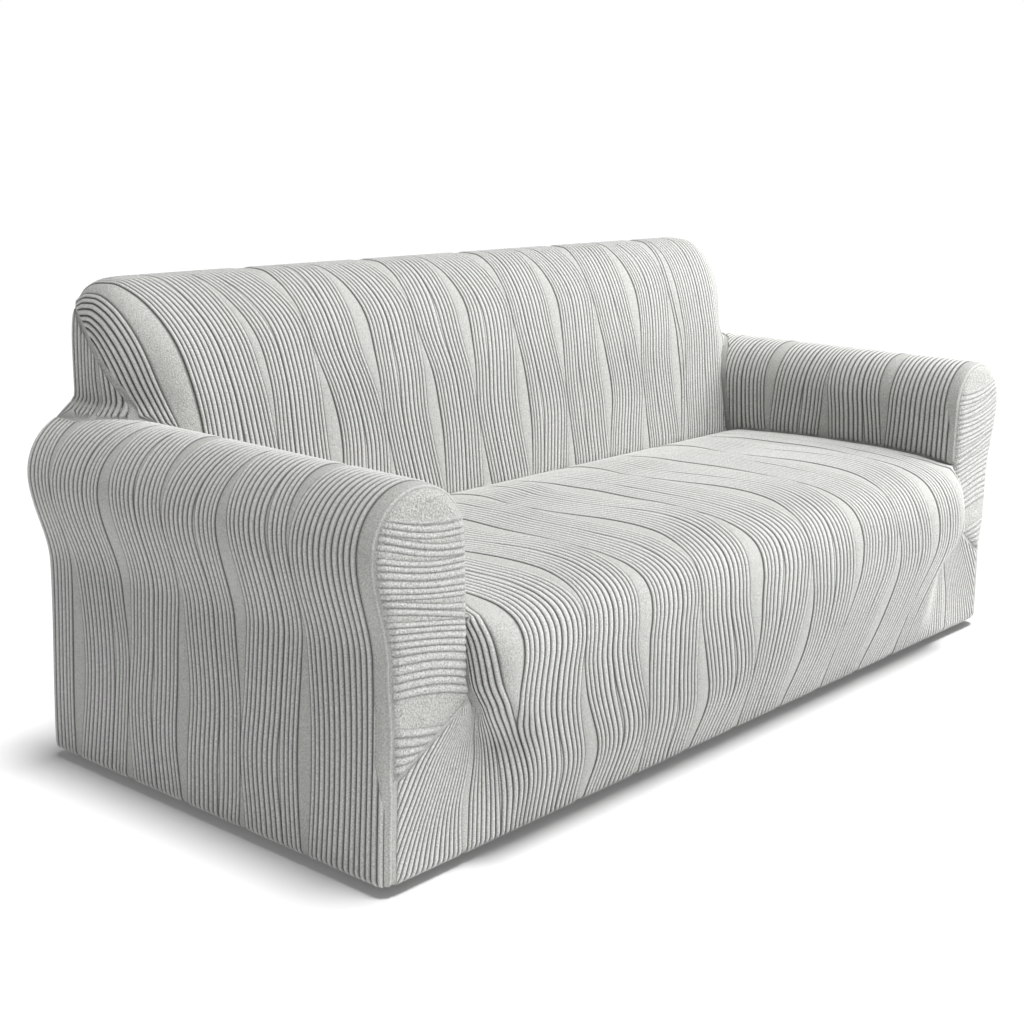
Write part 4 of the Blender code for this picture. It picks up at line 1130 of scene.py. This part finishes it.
def seat_half_row(y, z, past_nose, half):
    """The right half of a row of the seat panel: rib places and points."""
    split, within, past = FAN_SPLIT
    xs = np.concatenate([np.linspace(0.0, split, within)[:-1], np.linspace(split, half, past)])
    points = seat_points(y, z, past_nose, xs)
    ribs = np.linspace(0.0, SKIRT_REACH, FAN_STEPS)
    spread = [float(eased(z, FAN_HEIGHTS, row)) for row in RIB_FAN]
    fanned = eased(ribs, [row[0] for row in RIB_FAN], spread)
    return np.interp(path_lengths(points), fanned, ribs), points


def seat_panel(knit, seams):
    profile = seat_row_profile()
    lengths = path_lengths(profile)
    at = row_places(profile, SEAM_MARGIN, SEAM_MARGIN)
    nose_start, nose_stop = lengths[SEAT_NOSE], lengths[SEAT_NOSE + 1]
    past = smooth((at - nose_start) / (nose_stop - nose_start))
    lines = []
    for (y, z), past_nose, length in zip(eased_path(profile, at), past, at):
        z = float(z)
        half = INNER_HALF if length <= nose_stop else skirt_half(z)
        if z < POINT_Z:
            half = at_height(seams.skirt, z)
        places, points = seat_half_row(float(y), z, float(past_nose), half)
        lines.append(both_halves(places, points * MIRROR))
    from_middle, widest_at = SEAT_LEAVES
    leaves = leaf_rows(knit, 2.0 * SKIRT_REACH, SKIRT_REACH + from_middle, widest_at)
    leaves = [leaf for leaf in leaves if abs(leaf.place - SKIRT_REACH) < SEAT_LEAVES_TO]
    leaves += both_sides(SEAT_END_LEAVES, SKIRT_REACH)
    layout = RibLayout(knit, 2.0 * SKIRT_REACH, at, leaves, seed=23)
    side = [*seams.seat_side, *seams.recess[1:], *seams.mitre[1:], *seams.skirt[-2::-1]]
    hem = crossing(side[-1], FRONT_HEM_XS, HEM_TURN, 0.0)
    borders = [crease_seam(seams), mirrored(side), hem[::-1], side[::-1]]
    return ribbed_panel("seat", knit, lines, at, layout, -SKIRT_REACH, borders, lining_rows=1)


LEAN_STEPS = 260


def back_lean(place, z):
    """How far a rib of the inside back has moved towards the middle, from its place at the top."""
    down = np.clip((TOP_Z - z) / (TOP_Z - CREASE_Z), 0.0, 1.0)
    return np.interp(place, *BACK_LEAN) * down


def back_half_row(spot, seams):
    """The right half of an inside back row over a spot of its profile: places and points."""
    y, z = spot
    if z <= CORE_Z:
        seam = np.array(seams.inner_rear)[::-1]
        end_y = at_height(seam, min(z, float(seam[-1, 2])), axis=1)
        power = END_POWER[0]
        least = (CORE_Y - end_y) / (CORE_Y - float(back_face_y(z)))
    else:
        seam = np.array(seams.gusset_mitre)
        angles = np.arctan2(seam[:, 2] - CORE_Z, CORE_Y - seam[:, 1])
        angle = math.atan2(z - CORE_Z, CORE_Y - y)
        end_y, end_z = (float(np.interp(angle, angles, seam[:, axis])) for axis in (1, 2))
        power = float(end_power(angle))
        least = math.hypot(end_y - CORE_Y, end_z - CORE_Z) / math.hypot(y - CORE_Y, z - CORE_Z)
    last = math.acos(min(least, NEARLY_ONE) ** (0.5 * power))
    turn = np.linspace(0.0, last, ARC_STEPS)
    shares = np.cos(turn) ** (2.0 / power)
    ys = CORE_Y - shares * (CORE_Y - y)
    zs = CORE_Z + shares * (z - CORE_Z) if z > CORE_Z else np.full_like(shares, z)
    xs = END_START_X + end_reach(ys, zs) * np.sin(turn) ** (2.0 / power)
    points = np.concatenate([[(0.0, y, z)], np.stack([xs, ys, zs], axis=-1)])
    ribs = np.linspace(0.0, BACK_LEAN[0][-1], LEAN_STEPS)
    return np.interp(path_lengths(points), ribs - back_lean(ribs, z), ribs), points


BACK_LEAVES = (-0.40, 0.38)  # from the middle to a line of leaves, and where one is widest
BACK_LEAF_STRETCH = 0.92
BACK_LEAVES_TO = 0.68  # no such line further out
BACK_END_LEAVES = (Leaf(0.71, 0.36, 0.020, 0.44), Leaf(0.905, 0.36, 0.060, 0.75, once=True))


def inside_back_panel(knit, seams):
    at = row_places(BACK_PROFILE, SEAM_MARGIN, SEAM_MARGIN)
    lines = [both_halves(*back_half_row((float(y), float(z)), seams))
             for y, z in eased_path(BACK_PROFILE, at)]
    widest = max(line[0][-1] for line in lines)
    from_middle, widest_at = BACK_LEAVES
    leaves = leaf_rows(knit, 2.0 * widest, widest + from_middle, widest_at, stretch=BACK_LEAF_STRETCH)
    leaves = [leaf for leaf in leaves if abs(leaf.place - widest) < BACK_LEAVES_TO]
    leaves += both_sides(BACK_END_LEAVES, widest)
    layout = RibLayout(knit, 2.0 * widest, at, leaves, seed=31)
    right = [*seams.inner_rear[::-1], *seams.gusset_mitre[1:]]
    borders = [crease_seam(seams)[::-1], right, top_seam(seams), mirrored(right)[::-1]]
    return ribbed_panel("inside_back", knit, lines, at, layout, -widest, borders)


SEAM_ROW = 0.004  # from a level seam to the first row
GUSSET_ROWS = 18
GUSSET_START = 0.006  # from the foot seam up to a gusset's first row
GUSSET_STOP = 0.002
GUSSET_LEAVES = (Leaf(0.075, 0.05, 0.012, 0.30),)


def back_end_panel(knit, seams):
    """The right gusset, in level rows from the mitre round the rear edge."""
    mitre, rear = np.array(seams.gusset_mitre), np.array(seams.gusset_rear)
    low, high = float(mitre[0, 2]) + GUSSET_START, float(rear[-2, 2]) - GUSSET_STOP
    zs = np.linspace(low, high, GUSSET_ROWS)
    rear_y = float(rear[1, 1])
    lines = []
    for z in zs:
        ys = np.linspace(at_height(mitre, z, axis=1), rear_y, ARC_STEPS)
        past = np.maximum(ys - (DEPTH - REAR_EDGE), 0.0)
        xs = end_x(ys, z) - REAR_EDGE + np.sqrt(REAR_EDGE**2 - past**2)
        lines.append((ys, np.stack([xs, ys, np.full_like(ys, z)], axis=-1)))
    first = float(lines[0][0][0])
    layout = RibLayout(knit, rear_y - first, zs - low, GUSSET_LEAVES, seed=7)
    borders = [seams.foot[::-1], list(rear[:-1]), [rear[-2], rear[-1], mitre[-2]], list(mitre[-2::-1])]
    return ribbed_panel("back_end", knit, lines, zs - low + SEAM_ROW, layout, first, borders)


HEM_ROWS = np.array([SEAM_ROW, 0.010, 0.016, 0.022, 0.029, 0.037])
REAR_ROWS_FROM = 0.045
REAR_ROW_STEP = 0.015
REAR_WIDEST_AT = 0.30


def outside_back_panel(knit, seams):
    """The outside back, in level rows from the hem to the seam behind the top."""
    right = [*seams.arm_rear, *seams.gusset_rear[1:]]
    spots = np.array(right)
    lengths = path_lengths(spots)
    at = np.linspace(SEAM_MARGIN, lengths[-1] - SEAM_ROW, int(round(lengths[-1] / REAR_ROW_STEP)))
    at = np.concatenate([HEM_ROWS, at[at > REAR_ROWS_FROM]])
    lines = [rear_line([float(np.interp(length, lengths, spots[:, axis])) for axis in range(3)])
             for length in at]
    leaves = leaf_rows(knit, 2.0 * HALF_WIDTH, HALF_WIDTH, REAR_WIDEST_AT)
    layout = RibLayout(knit, 2.0 * HALF_WIDTH, at, leaves, seed=41)
    hem = crossing(right[0], REAR_HEM_XS, DEPTH - HEM_TURN, 0.0)
    borders = [hem, mirrored(right), top_seam(seams)[::-1], right[::-1]]
    return ribbed_panel("outside_back", knit, lines, at, layout, -HALF_WIDTH, borders, edge=EDGE_OFFSETS)


def rear_line(edge):
    """A row of the outside back from its right end: round the edge, across the flat and round again."""
    x, y, z = edge
    flat_x = x - REAR_EDGE * math.cos(REAR_TURN)
    radius = REAR_EDGE
    if z < HEM_RADIUS:
        radius = max((x - flat_x) / math.cos(REAR_TURN), LEAST_RADIUS)
    turn = np.linspace(REAR_TURN, 0.5 * math.pi, EDGE_STEPS)
    xs = flat_x + radius * np.cos(turn)
    ys = y + radius * (np.sin(turn) - math.sin(REAR_TURN))
    half = np.stack([xs, ys, np.full_like(xs, z)], axis=-1)
    lead = flat_x + radius * (0.5 * math.pi - turn)
    return np.concatenate([-lead, lead[::-1]]), np.concatenate([half, half[::-1] * MIRROR])


# ---------------------------------------------------------------- materials


def add_node(tree, kind, x, y, **values):
    node = tree.nodes.new(kind)
    node.location = (x, y)
    for name, value in values.items():
        setattr(node, name, value)
    return node


PATCH_SCALE = 9.0  # of the slow changes of tone


def fuzz_group():
    """Shader group: the looped surface of the yarn, as a colour factor and a height."""
    tree = bpy.data.node_groups.get("yarn_fuzz")
    if tree:
        return tree
    tree = bpy.data.node_groups.new("yarn_fuzz", "ShaderNodeTree")
    for name, value in (("Scale", 420.0), ("Speckle", 0.12), ("Drift", 0.05)):
        socket = tree.interface.new_socket(name, in_out="INPUT", socket_type="NodeSocketFloat")
        socket.default_value = value
    for name in ("Factor", "Height"):
        tree.interface.new_socket(name, in_out="OUTPUT", socket_type="NodeSocketFloat")
    enter = add_node(tree, "NodeGroupInput", -900, 0)
    leave = add_node(tree, "NodeGroupOutput", 700, 0)
    where = add_node(tree, "ShaderNodeTexCoord", -900, -250)
    loops = add_node(tree, "ShaderNodeTexNoise", -600, 100)
    loops.inputs["Detail"].default_value = 2.0
    loops.inputs["Roughness"].default_value = 0.65
    patches = add_node(tree, "ShaderNodeTexNoise", -600, -250)
    patches.inputs["Scale"].default_value = PATCH_SCALE
    patches.inputs["Detail"].default_value = 3.0
    both = add_node(tree, "ShaderNodeMath", 150, 0, operation="ADD")
    whole = add_node(tree, "ShaderNodeMath", 350, 0, operation="ADD")
    whole.inputs[1].default_value = 1.0
    for k, (noise, amount) in enumerate(((loops, "Speckle"), (patches, "Drift"))):
        centred = add_node(tree, "ShaderNodeMath", -300, 150 - 300 * k, operation="SUBTRACT")
        centred.inputs[1].default_value = 0.5
        sized = add_node(tree, "ShaderNodeMath", -100, 150 - 300 * k, operation="MULTIPLY")
        tree.links.new(where.outputs["Object"], noise.inputs["Vector"])
        tree.links.new(noise.outputs["Fac"], centred.inputs[0])
        tree.links.new(centred.outputs[0], sized.inputs[0])
        tree.links.new(enter.outputs[amount], sized.inputs[1])
        tree.links.new(sized.outputs[0], both.inputs[k])
    tree.links.new(enter.outputs["Scale"], loops.inputs["Scale"])
    tree.links.new(both.outputs[0], whole.inputs[0])
    tree.links.new(whole.outputs[0], leave.inputs["Factor"])
    tree.links.new(loops.outputs["Fac"], leave.inputs["Height"])
    return tree


class Yarn(NamedTuple):
    """How a yarn's surface looks close by."""

    scale: float
    speckle: float
    rise: float


PLAIN_YARN = Yarn(380.0, 1.2, 0.0022)
LOOPED_YARN = Yarn(330.0, 1.7, 0.0036)


def knit_material(name, crest_with_highlight, groove, leaf, yarn):
    """Ribbed knit: painted shade in the grooves, the yarn's tone with a painted highlight on the crests,
    plain in the leaves.
    """
    material = bpy.data.materials.get(name)
    if material:
        return material
    material = bpy.data.materials.new(name)
    material.use_nodes = True
    tree = material.node_tree
    shader = tree.nodes["Principled BSDF"]
    shader.inputs["Roughness"].default_value = 0.92
    shader.inputs["Specular IOR Level"].default_value = 0.25
    shader.inputs["Sheen Weight"].default_value = 0.15
    shader.inputs["Sheen Roughness"].default_value = 0.5
    rib = add_node(tree, "ShaderNodeAttribute", -900, 200, attribute_name="rib")
    plain = add_node(tree, "ShaderNodeAttribute", -900, 0, attribute_name="plain")
    # The rib height mixes from the painted groove shade to the painted crest highlight.
    curve = add_node(tree, "ShaderNodeMapRange", -760, 320, interpolation_type="SMOOTHSTEP")
    ribs = add_node(tree, "ShaderNodeMix", -600, 200, data_type="RGBA")
    ribs.inputs["A"].default_value = groove
    ribs.inputs["B"].default_value = crest_with_highlight
    cloth = add_node(tree, "ShaderNodeMix", -400, 150, data_type="RGBA")
    cloth.inputs["B"].default_value = leaf
    fuzz = add_node(tree, "ShaderNodeGroup", -600, -200, node_tree=fuzz_group())
    fuzz.inputs["Scale"].default_value = yarn.scale
    fuzz.inputs["Speckle"].default_value = yarn.speckle
    tint = add_node(tree, "ShaderNodeMix", -200, 150, data_type="RGBA", blend_type="MULTIPLY")
    tint.inputs["Factor"].default_value = 1.0
    relief = add_node(tree, "ShaderNodeBump", -200, -200)
    relief.inputs["Strength"].default_value = 1.0
    relief.inputs["Distance"].default_value = yarn.rise
    for source, socket, target, entry in (
            (rib, "Fac", curve, "Value"), (curve, "Result", ribs, "Factor"),
            (ribs, "Result", cloth, "A"), (plain, "Fac", cloth, "Factor"),
            (cloth, "Result", tint, "A"), (fuzz, "Factor", tint, "B"),
            (tint, "Result", shader, "Base Color"), (fuzz, "Height", relief, "Height"),
            (relief, "Normal", shader, "Normal")):
        tree.links.new(source.outputs[socket], target.inputs[entry])
    return material


def ribbed_knit(colours):
    return knit_material("ribbed_knit", colours.rib, colours.groove, colours.leaf, PLAIN_YARN)


# The same knit as ribbed_knit, with lighter painted shade in its grooves.
def arm_knit(colours):
    return knit_material("arm_knit", colours.rib, colours.arm_groove_shade, colours.leaf, PLAIN_YARN)


def looped_knit(colours):
    return knit_material("looped_knit", colours.looped_rib, colours.looped_groove_shade, colours.leaf, LOOPED_YARN)


# ---------------------------------------------------------------- operators


class Workroom:
    """What the panels share, worked out once: their grids and the steps through the cloth."""

    def __init__(self, knit):
        seams = Seams()
        makers = (seat_panel, inside_back_panel, outside_back_panel, arm_panel, arm_front_panel,
                  back_end_panel)
        panels = [maker(knit, seams) for maker in makers]
        self.panels = {panel.name: panel for panel in panels}
        self.through = seam_directions(panels)


@functools.cache
def workroom():
    """The panels of the whole cover, made for the first operator that asks for them."""
    return Workroom(bpy.context.scene.cover_knit)


def sewn(panel_name, node, side, material):
    """Makes one panel and says what it stands for."""
    room = workroom()
    made = sewn_sheet(room.panels[panel_name], room.through, side)
    made.name = node + "_knit"
    made.data.name = made.name
    made.data.materials.clear()
    made.data.materials.append(material(bpy.context.scene.cover_colours))
    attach(made, "root")
    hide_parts(node)


def sewn_pair(panel_name, material):
    """Makes a panel for each half of the cover."""
    for side, hand in ((1, "right"), (-1, "left")):
        sewn(panel_name, f"{panel_name}_{hand}", side, material)


class COVER_OT_seat(bpy.types.Operator):
    """Sews the seat panel, from the rear crease over the nose to the front hem"""

    bl_idname = "cover.seat"
    bl_label = "Seat and Skirt"

    def execute(self, context):
        sewn("seat", "seat", 1, ribbed_knit)
        return {"FINISHED"}


class COVER_OT_backs(bpy.types.Operator):
    """Sews the inside back and the outside back"""

    bl_idname = "cover.backs"
    bl_label = "Inside and Outside Back"

    def execute(self, context):
        for name in ("inside_back", "outside_back"):
            sewn(name, name, 1, ribbed_knit)
        return {"FINISHED"}


class COVER_OT_arms(bpy.types.Operator):
    """Sews both arms, each from its hem over the roll to the seat"""

    bl_idname = "cover.arms"
    bl_label = "Arms"

    def execute(self, context):
        sewn_pair("arm", arm_knit)
        return {"FINISHED"}


class COVER_OT_arm_fronts(bpy.types.Operator):
    """Sews the mitred panels on the fronts of the arms"""

    bl_idname = "cover.arm_fronts"
    bl_label = "Arm Fronts"

    def execute(self, context):
        sewn_pair("arm_front", looped_knit)
        return {"FINISHED"}


class COVER_OT_back_ends(bpy.types.Operator):
    """Sews the gussets at the ends of the back"""

    bl_idname = "cover.back_ends"
    bl_label = "Back End Gussets"

    def execute(self, context):
        sewn_pair("back_end", ribbed_knit)
        return {"FINISHED"}


# ---------------------------------------------------------------- stage

CAMERA_SPOT = (-2.5986, -1.6659, 1.1408)  # in the working frame
CAMERA_YAW = 0.8476
CAMERA_PITCH = -0.2296
CAMERA_ROLL = 0.0082
CAMERA_LENS = 57.17
KEY_FROM = (0.06, -0.36, 0.93)  # direction towards the light from above
FLOOR_FROM = (0.06, -0.11, 1.0)  # and towards the floor's own light
SIDE_SPOT = (2.5, -2.5, 1.5)
SIDE_TARGET = (0.3, -0.4, -0.4)
SIDE_SIZE = 2.0
FLOOR_SIZE = 60.0
FLOOR_COLOUR = (0.94, 0.94, 0.94, 1.0)
FLOOR_GLOW = 0.11
WHITE = (1.0, 1.0, 1.0, 1.0)


def camera_matrix():
    """Where the camera stands and looks, in the world."""
    yaw, pitch, roll = CAMERA_YAW, CAMERA_PITCH, CAMERA_ROLL
    ahead = Vector((math.sin(yaw) * math.cos(pitch), math.cos(yaw) * math.cos(pitch), math.sin(pitch)))
    right = Vector((math.cos(yaw), -math.sin(yaw), 0.0))
    up = right.cross(ahead)
    across = math.cos(roll) * right + math.sin(roll) * up
    above = -math.sin(roll) * right + math.cos(roll) * up
    turn = Matrix((across, above, -ahead)).transposed()
    return Matrix.Translation(Vector(CAMERA_SPOT) + Vector(WORLD_SHIFT)) @ turn.to_4x4()


def add_light(name, kind, energy, source, floor, state):
    """A light from a direction, which shines on the floor alone (INCLUDE) or on all but it (EXCLUDE)."""
    lamp = bpy.data.lights.new(name, kind)
    lamp.energy = energy
    light = bpy.data.objects.new(name, lamp)
    bpy.context.scene.collection.objects.link(light)
    light.rotation_euler = Vector(source).to_track_quat("Z", "Y").to_euler()
    group = bpy.data.collections.new(name + " and the floor")
    group.objects.link(floor)
    group.collection_objects[0].light_linking.link_state = state
    light.light_linking.receiver_collection = group
    return light


def add_lights(stage, floor):
    """A soft light from above on the cover, one of its own on the floor, and one from the side."""
    key = add_light("key", "SUN", stage.key_strength, KEY_FROM, floor, "EXCLUDE")
    key.data.angle = stage.key_softness
    top = add_light("floor light", "SUN", stage.floor_strength, FLOOR_FROM, floor, "INCLUDE")
    top.data.angle = stage.floor_softness
    towards = Vector(SIDE_SPOT) - Vector(SIDE_TARGET)
    side = add_light("side", "AREA", stage.side_power, towards, floor, "EXCLUDE")
    side.data.size = SIDE_SIZE
    side.location = SIDE_SPOT


class COVER_OT_stage(bpy.types.Operator):
    """Lays the pale floor, sets the soft light and places the camera"""

    bl_idname = "cover.stage"
    bl_label = "Floor, Light and Camera"

    def execute(self, context):
        stage = context.scene.cover_stage
        bpy.ops.object.select_all(action="DESELECT")
        level = float(WORLD_SHIFT[2]) - stage.floor_drop
        bpy.ops.mesh.primitive_plane_add(size=FLOOR_SIZE, location=(0.0, 0.0, level))
        floor = context.object
        floor.name = "floor"
        floor.data.materials.append(self.floor_material())
        add_lights(stage, floor)
        self.surround(context, stage.fill_strength)
        lens = bpy.data.cameras.new("camera")
        lens.lens = CAMERA_LENS
        camera = bpy.data.objects.new("camera", lens)
        context.scene.collection.objects.link(camera)
        camera.matrix_world = camera_matrix()
        context.scene.camera = camera
        context.scene.view_settings.view_transform = "Standard"
        return {"FINISHED"}

    @staticmethod
    def floor_material():
        material = bpy.data.materials.new("pale_floor")
        material.use_nodes = True
        shader = material.node_tree.nodes["Principled BSDF"]
        shader.inputs["Base Color"].default_value = FLOOR_COLOUR
        shader.inputs["Roughness"].default_value = 0.9
        shader.inputs["Emission Color"].default_value = WHITE
        shader.inputs["Emission Strength"].default_value = FLOOR_GLOW
        return material

    @staticmethod
    def surround(context, strength):
        """Soft light from all round, in front of a white backdrop."""
        sky = bpy.data.worlds.new("studio")
        sky.use_nodes = True
        tree = sky.node_tree
        fill = tree.nodes["Background"]
        fill.inputs["Color"].default_value = WHITE
        fill.inputs["Strength"].default_value = strength
        backdrop = add_node(tree, "ShaderNodeBackground", 0, -200)
        backdrop.inputs["Color"].default_value = WHITE
        seen = add_node(tree, "ShaderNodeLightPath", 0, 300)
        choice = add_node(tree, "ShaderNodeMixShader", 250, 100)
        tree.links.new(seen.outputs["Is Camera Ray"], choice.inputs["Fac"])
        tree.links.new(fill.outputs["Background"], choice.inputs[1])
        tree.links.new(backdrop.outputs["Background"], choice.inputs[2])
        tree.links.new(choice.outputs["Shader"], tree.nodes["World Output"].inputs["Surface"])
        context.scene.world = sky


class COVER_PT_panel(bpy.types.Panel):
    """Lists the steps that make the cover"""

    bl_idname = "COVER_PT_panel"
    bl_label = "Sofa Cover"
    bl_space_type = "VIEW_3D"
    bl_region_type = "UI"
    bl_category = "Sofa Cover"

    def draw(self, context):
        for group in (context.scene.cover_knit, context.scene.cover_colours, context.scene.cover_stage):
            for name in group.__annotations__:
                self.layout.prop(group, name)
        for step in STEPS:
            self.layout.operator(step.bl_idname)


STEPS = (COVER_OT_seat, COVER_OT_backs, COVER_OT_arms, COVER_OT_arm_fronts, COVER_OT_back_ends,
         COVER_OT_stage)
CLASSES = (KnitSettings, ColourSettings, StageSettings, *STEPS, COVER_PT_panel)


def register():
    for kind in CLASSES:
        bpy.utils.register_class(kind)
    bpy.types.Scene.cover_knit = PointerProperty(type=KnitSettings)
    bpy.types.Scene.cover_colours = PointerProperty(type=ColourSettings)
    bpy.types.Scene.cover_stage = PointerProperty(type=StageSettings)


def unregister():
    for name in ("cover_knit", "cover_colours", "cover_stage"):
        delattr(bpy.types.Scene, name)
    for kind in reversed(CLASSES):
        bpy.utils.unregister_class(kind)


def main():
    register()
    bpy.ops.cover.seat()
    bpy.ops.cover.backs()
    bpy.ops.cover.arms()
    bpy.ops.cover.arm_fronts()
    bpy.ops.cover.back_ends()
    bpy.ops.cover.stage()


if __name__ == "__main__":
    main()
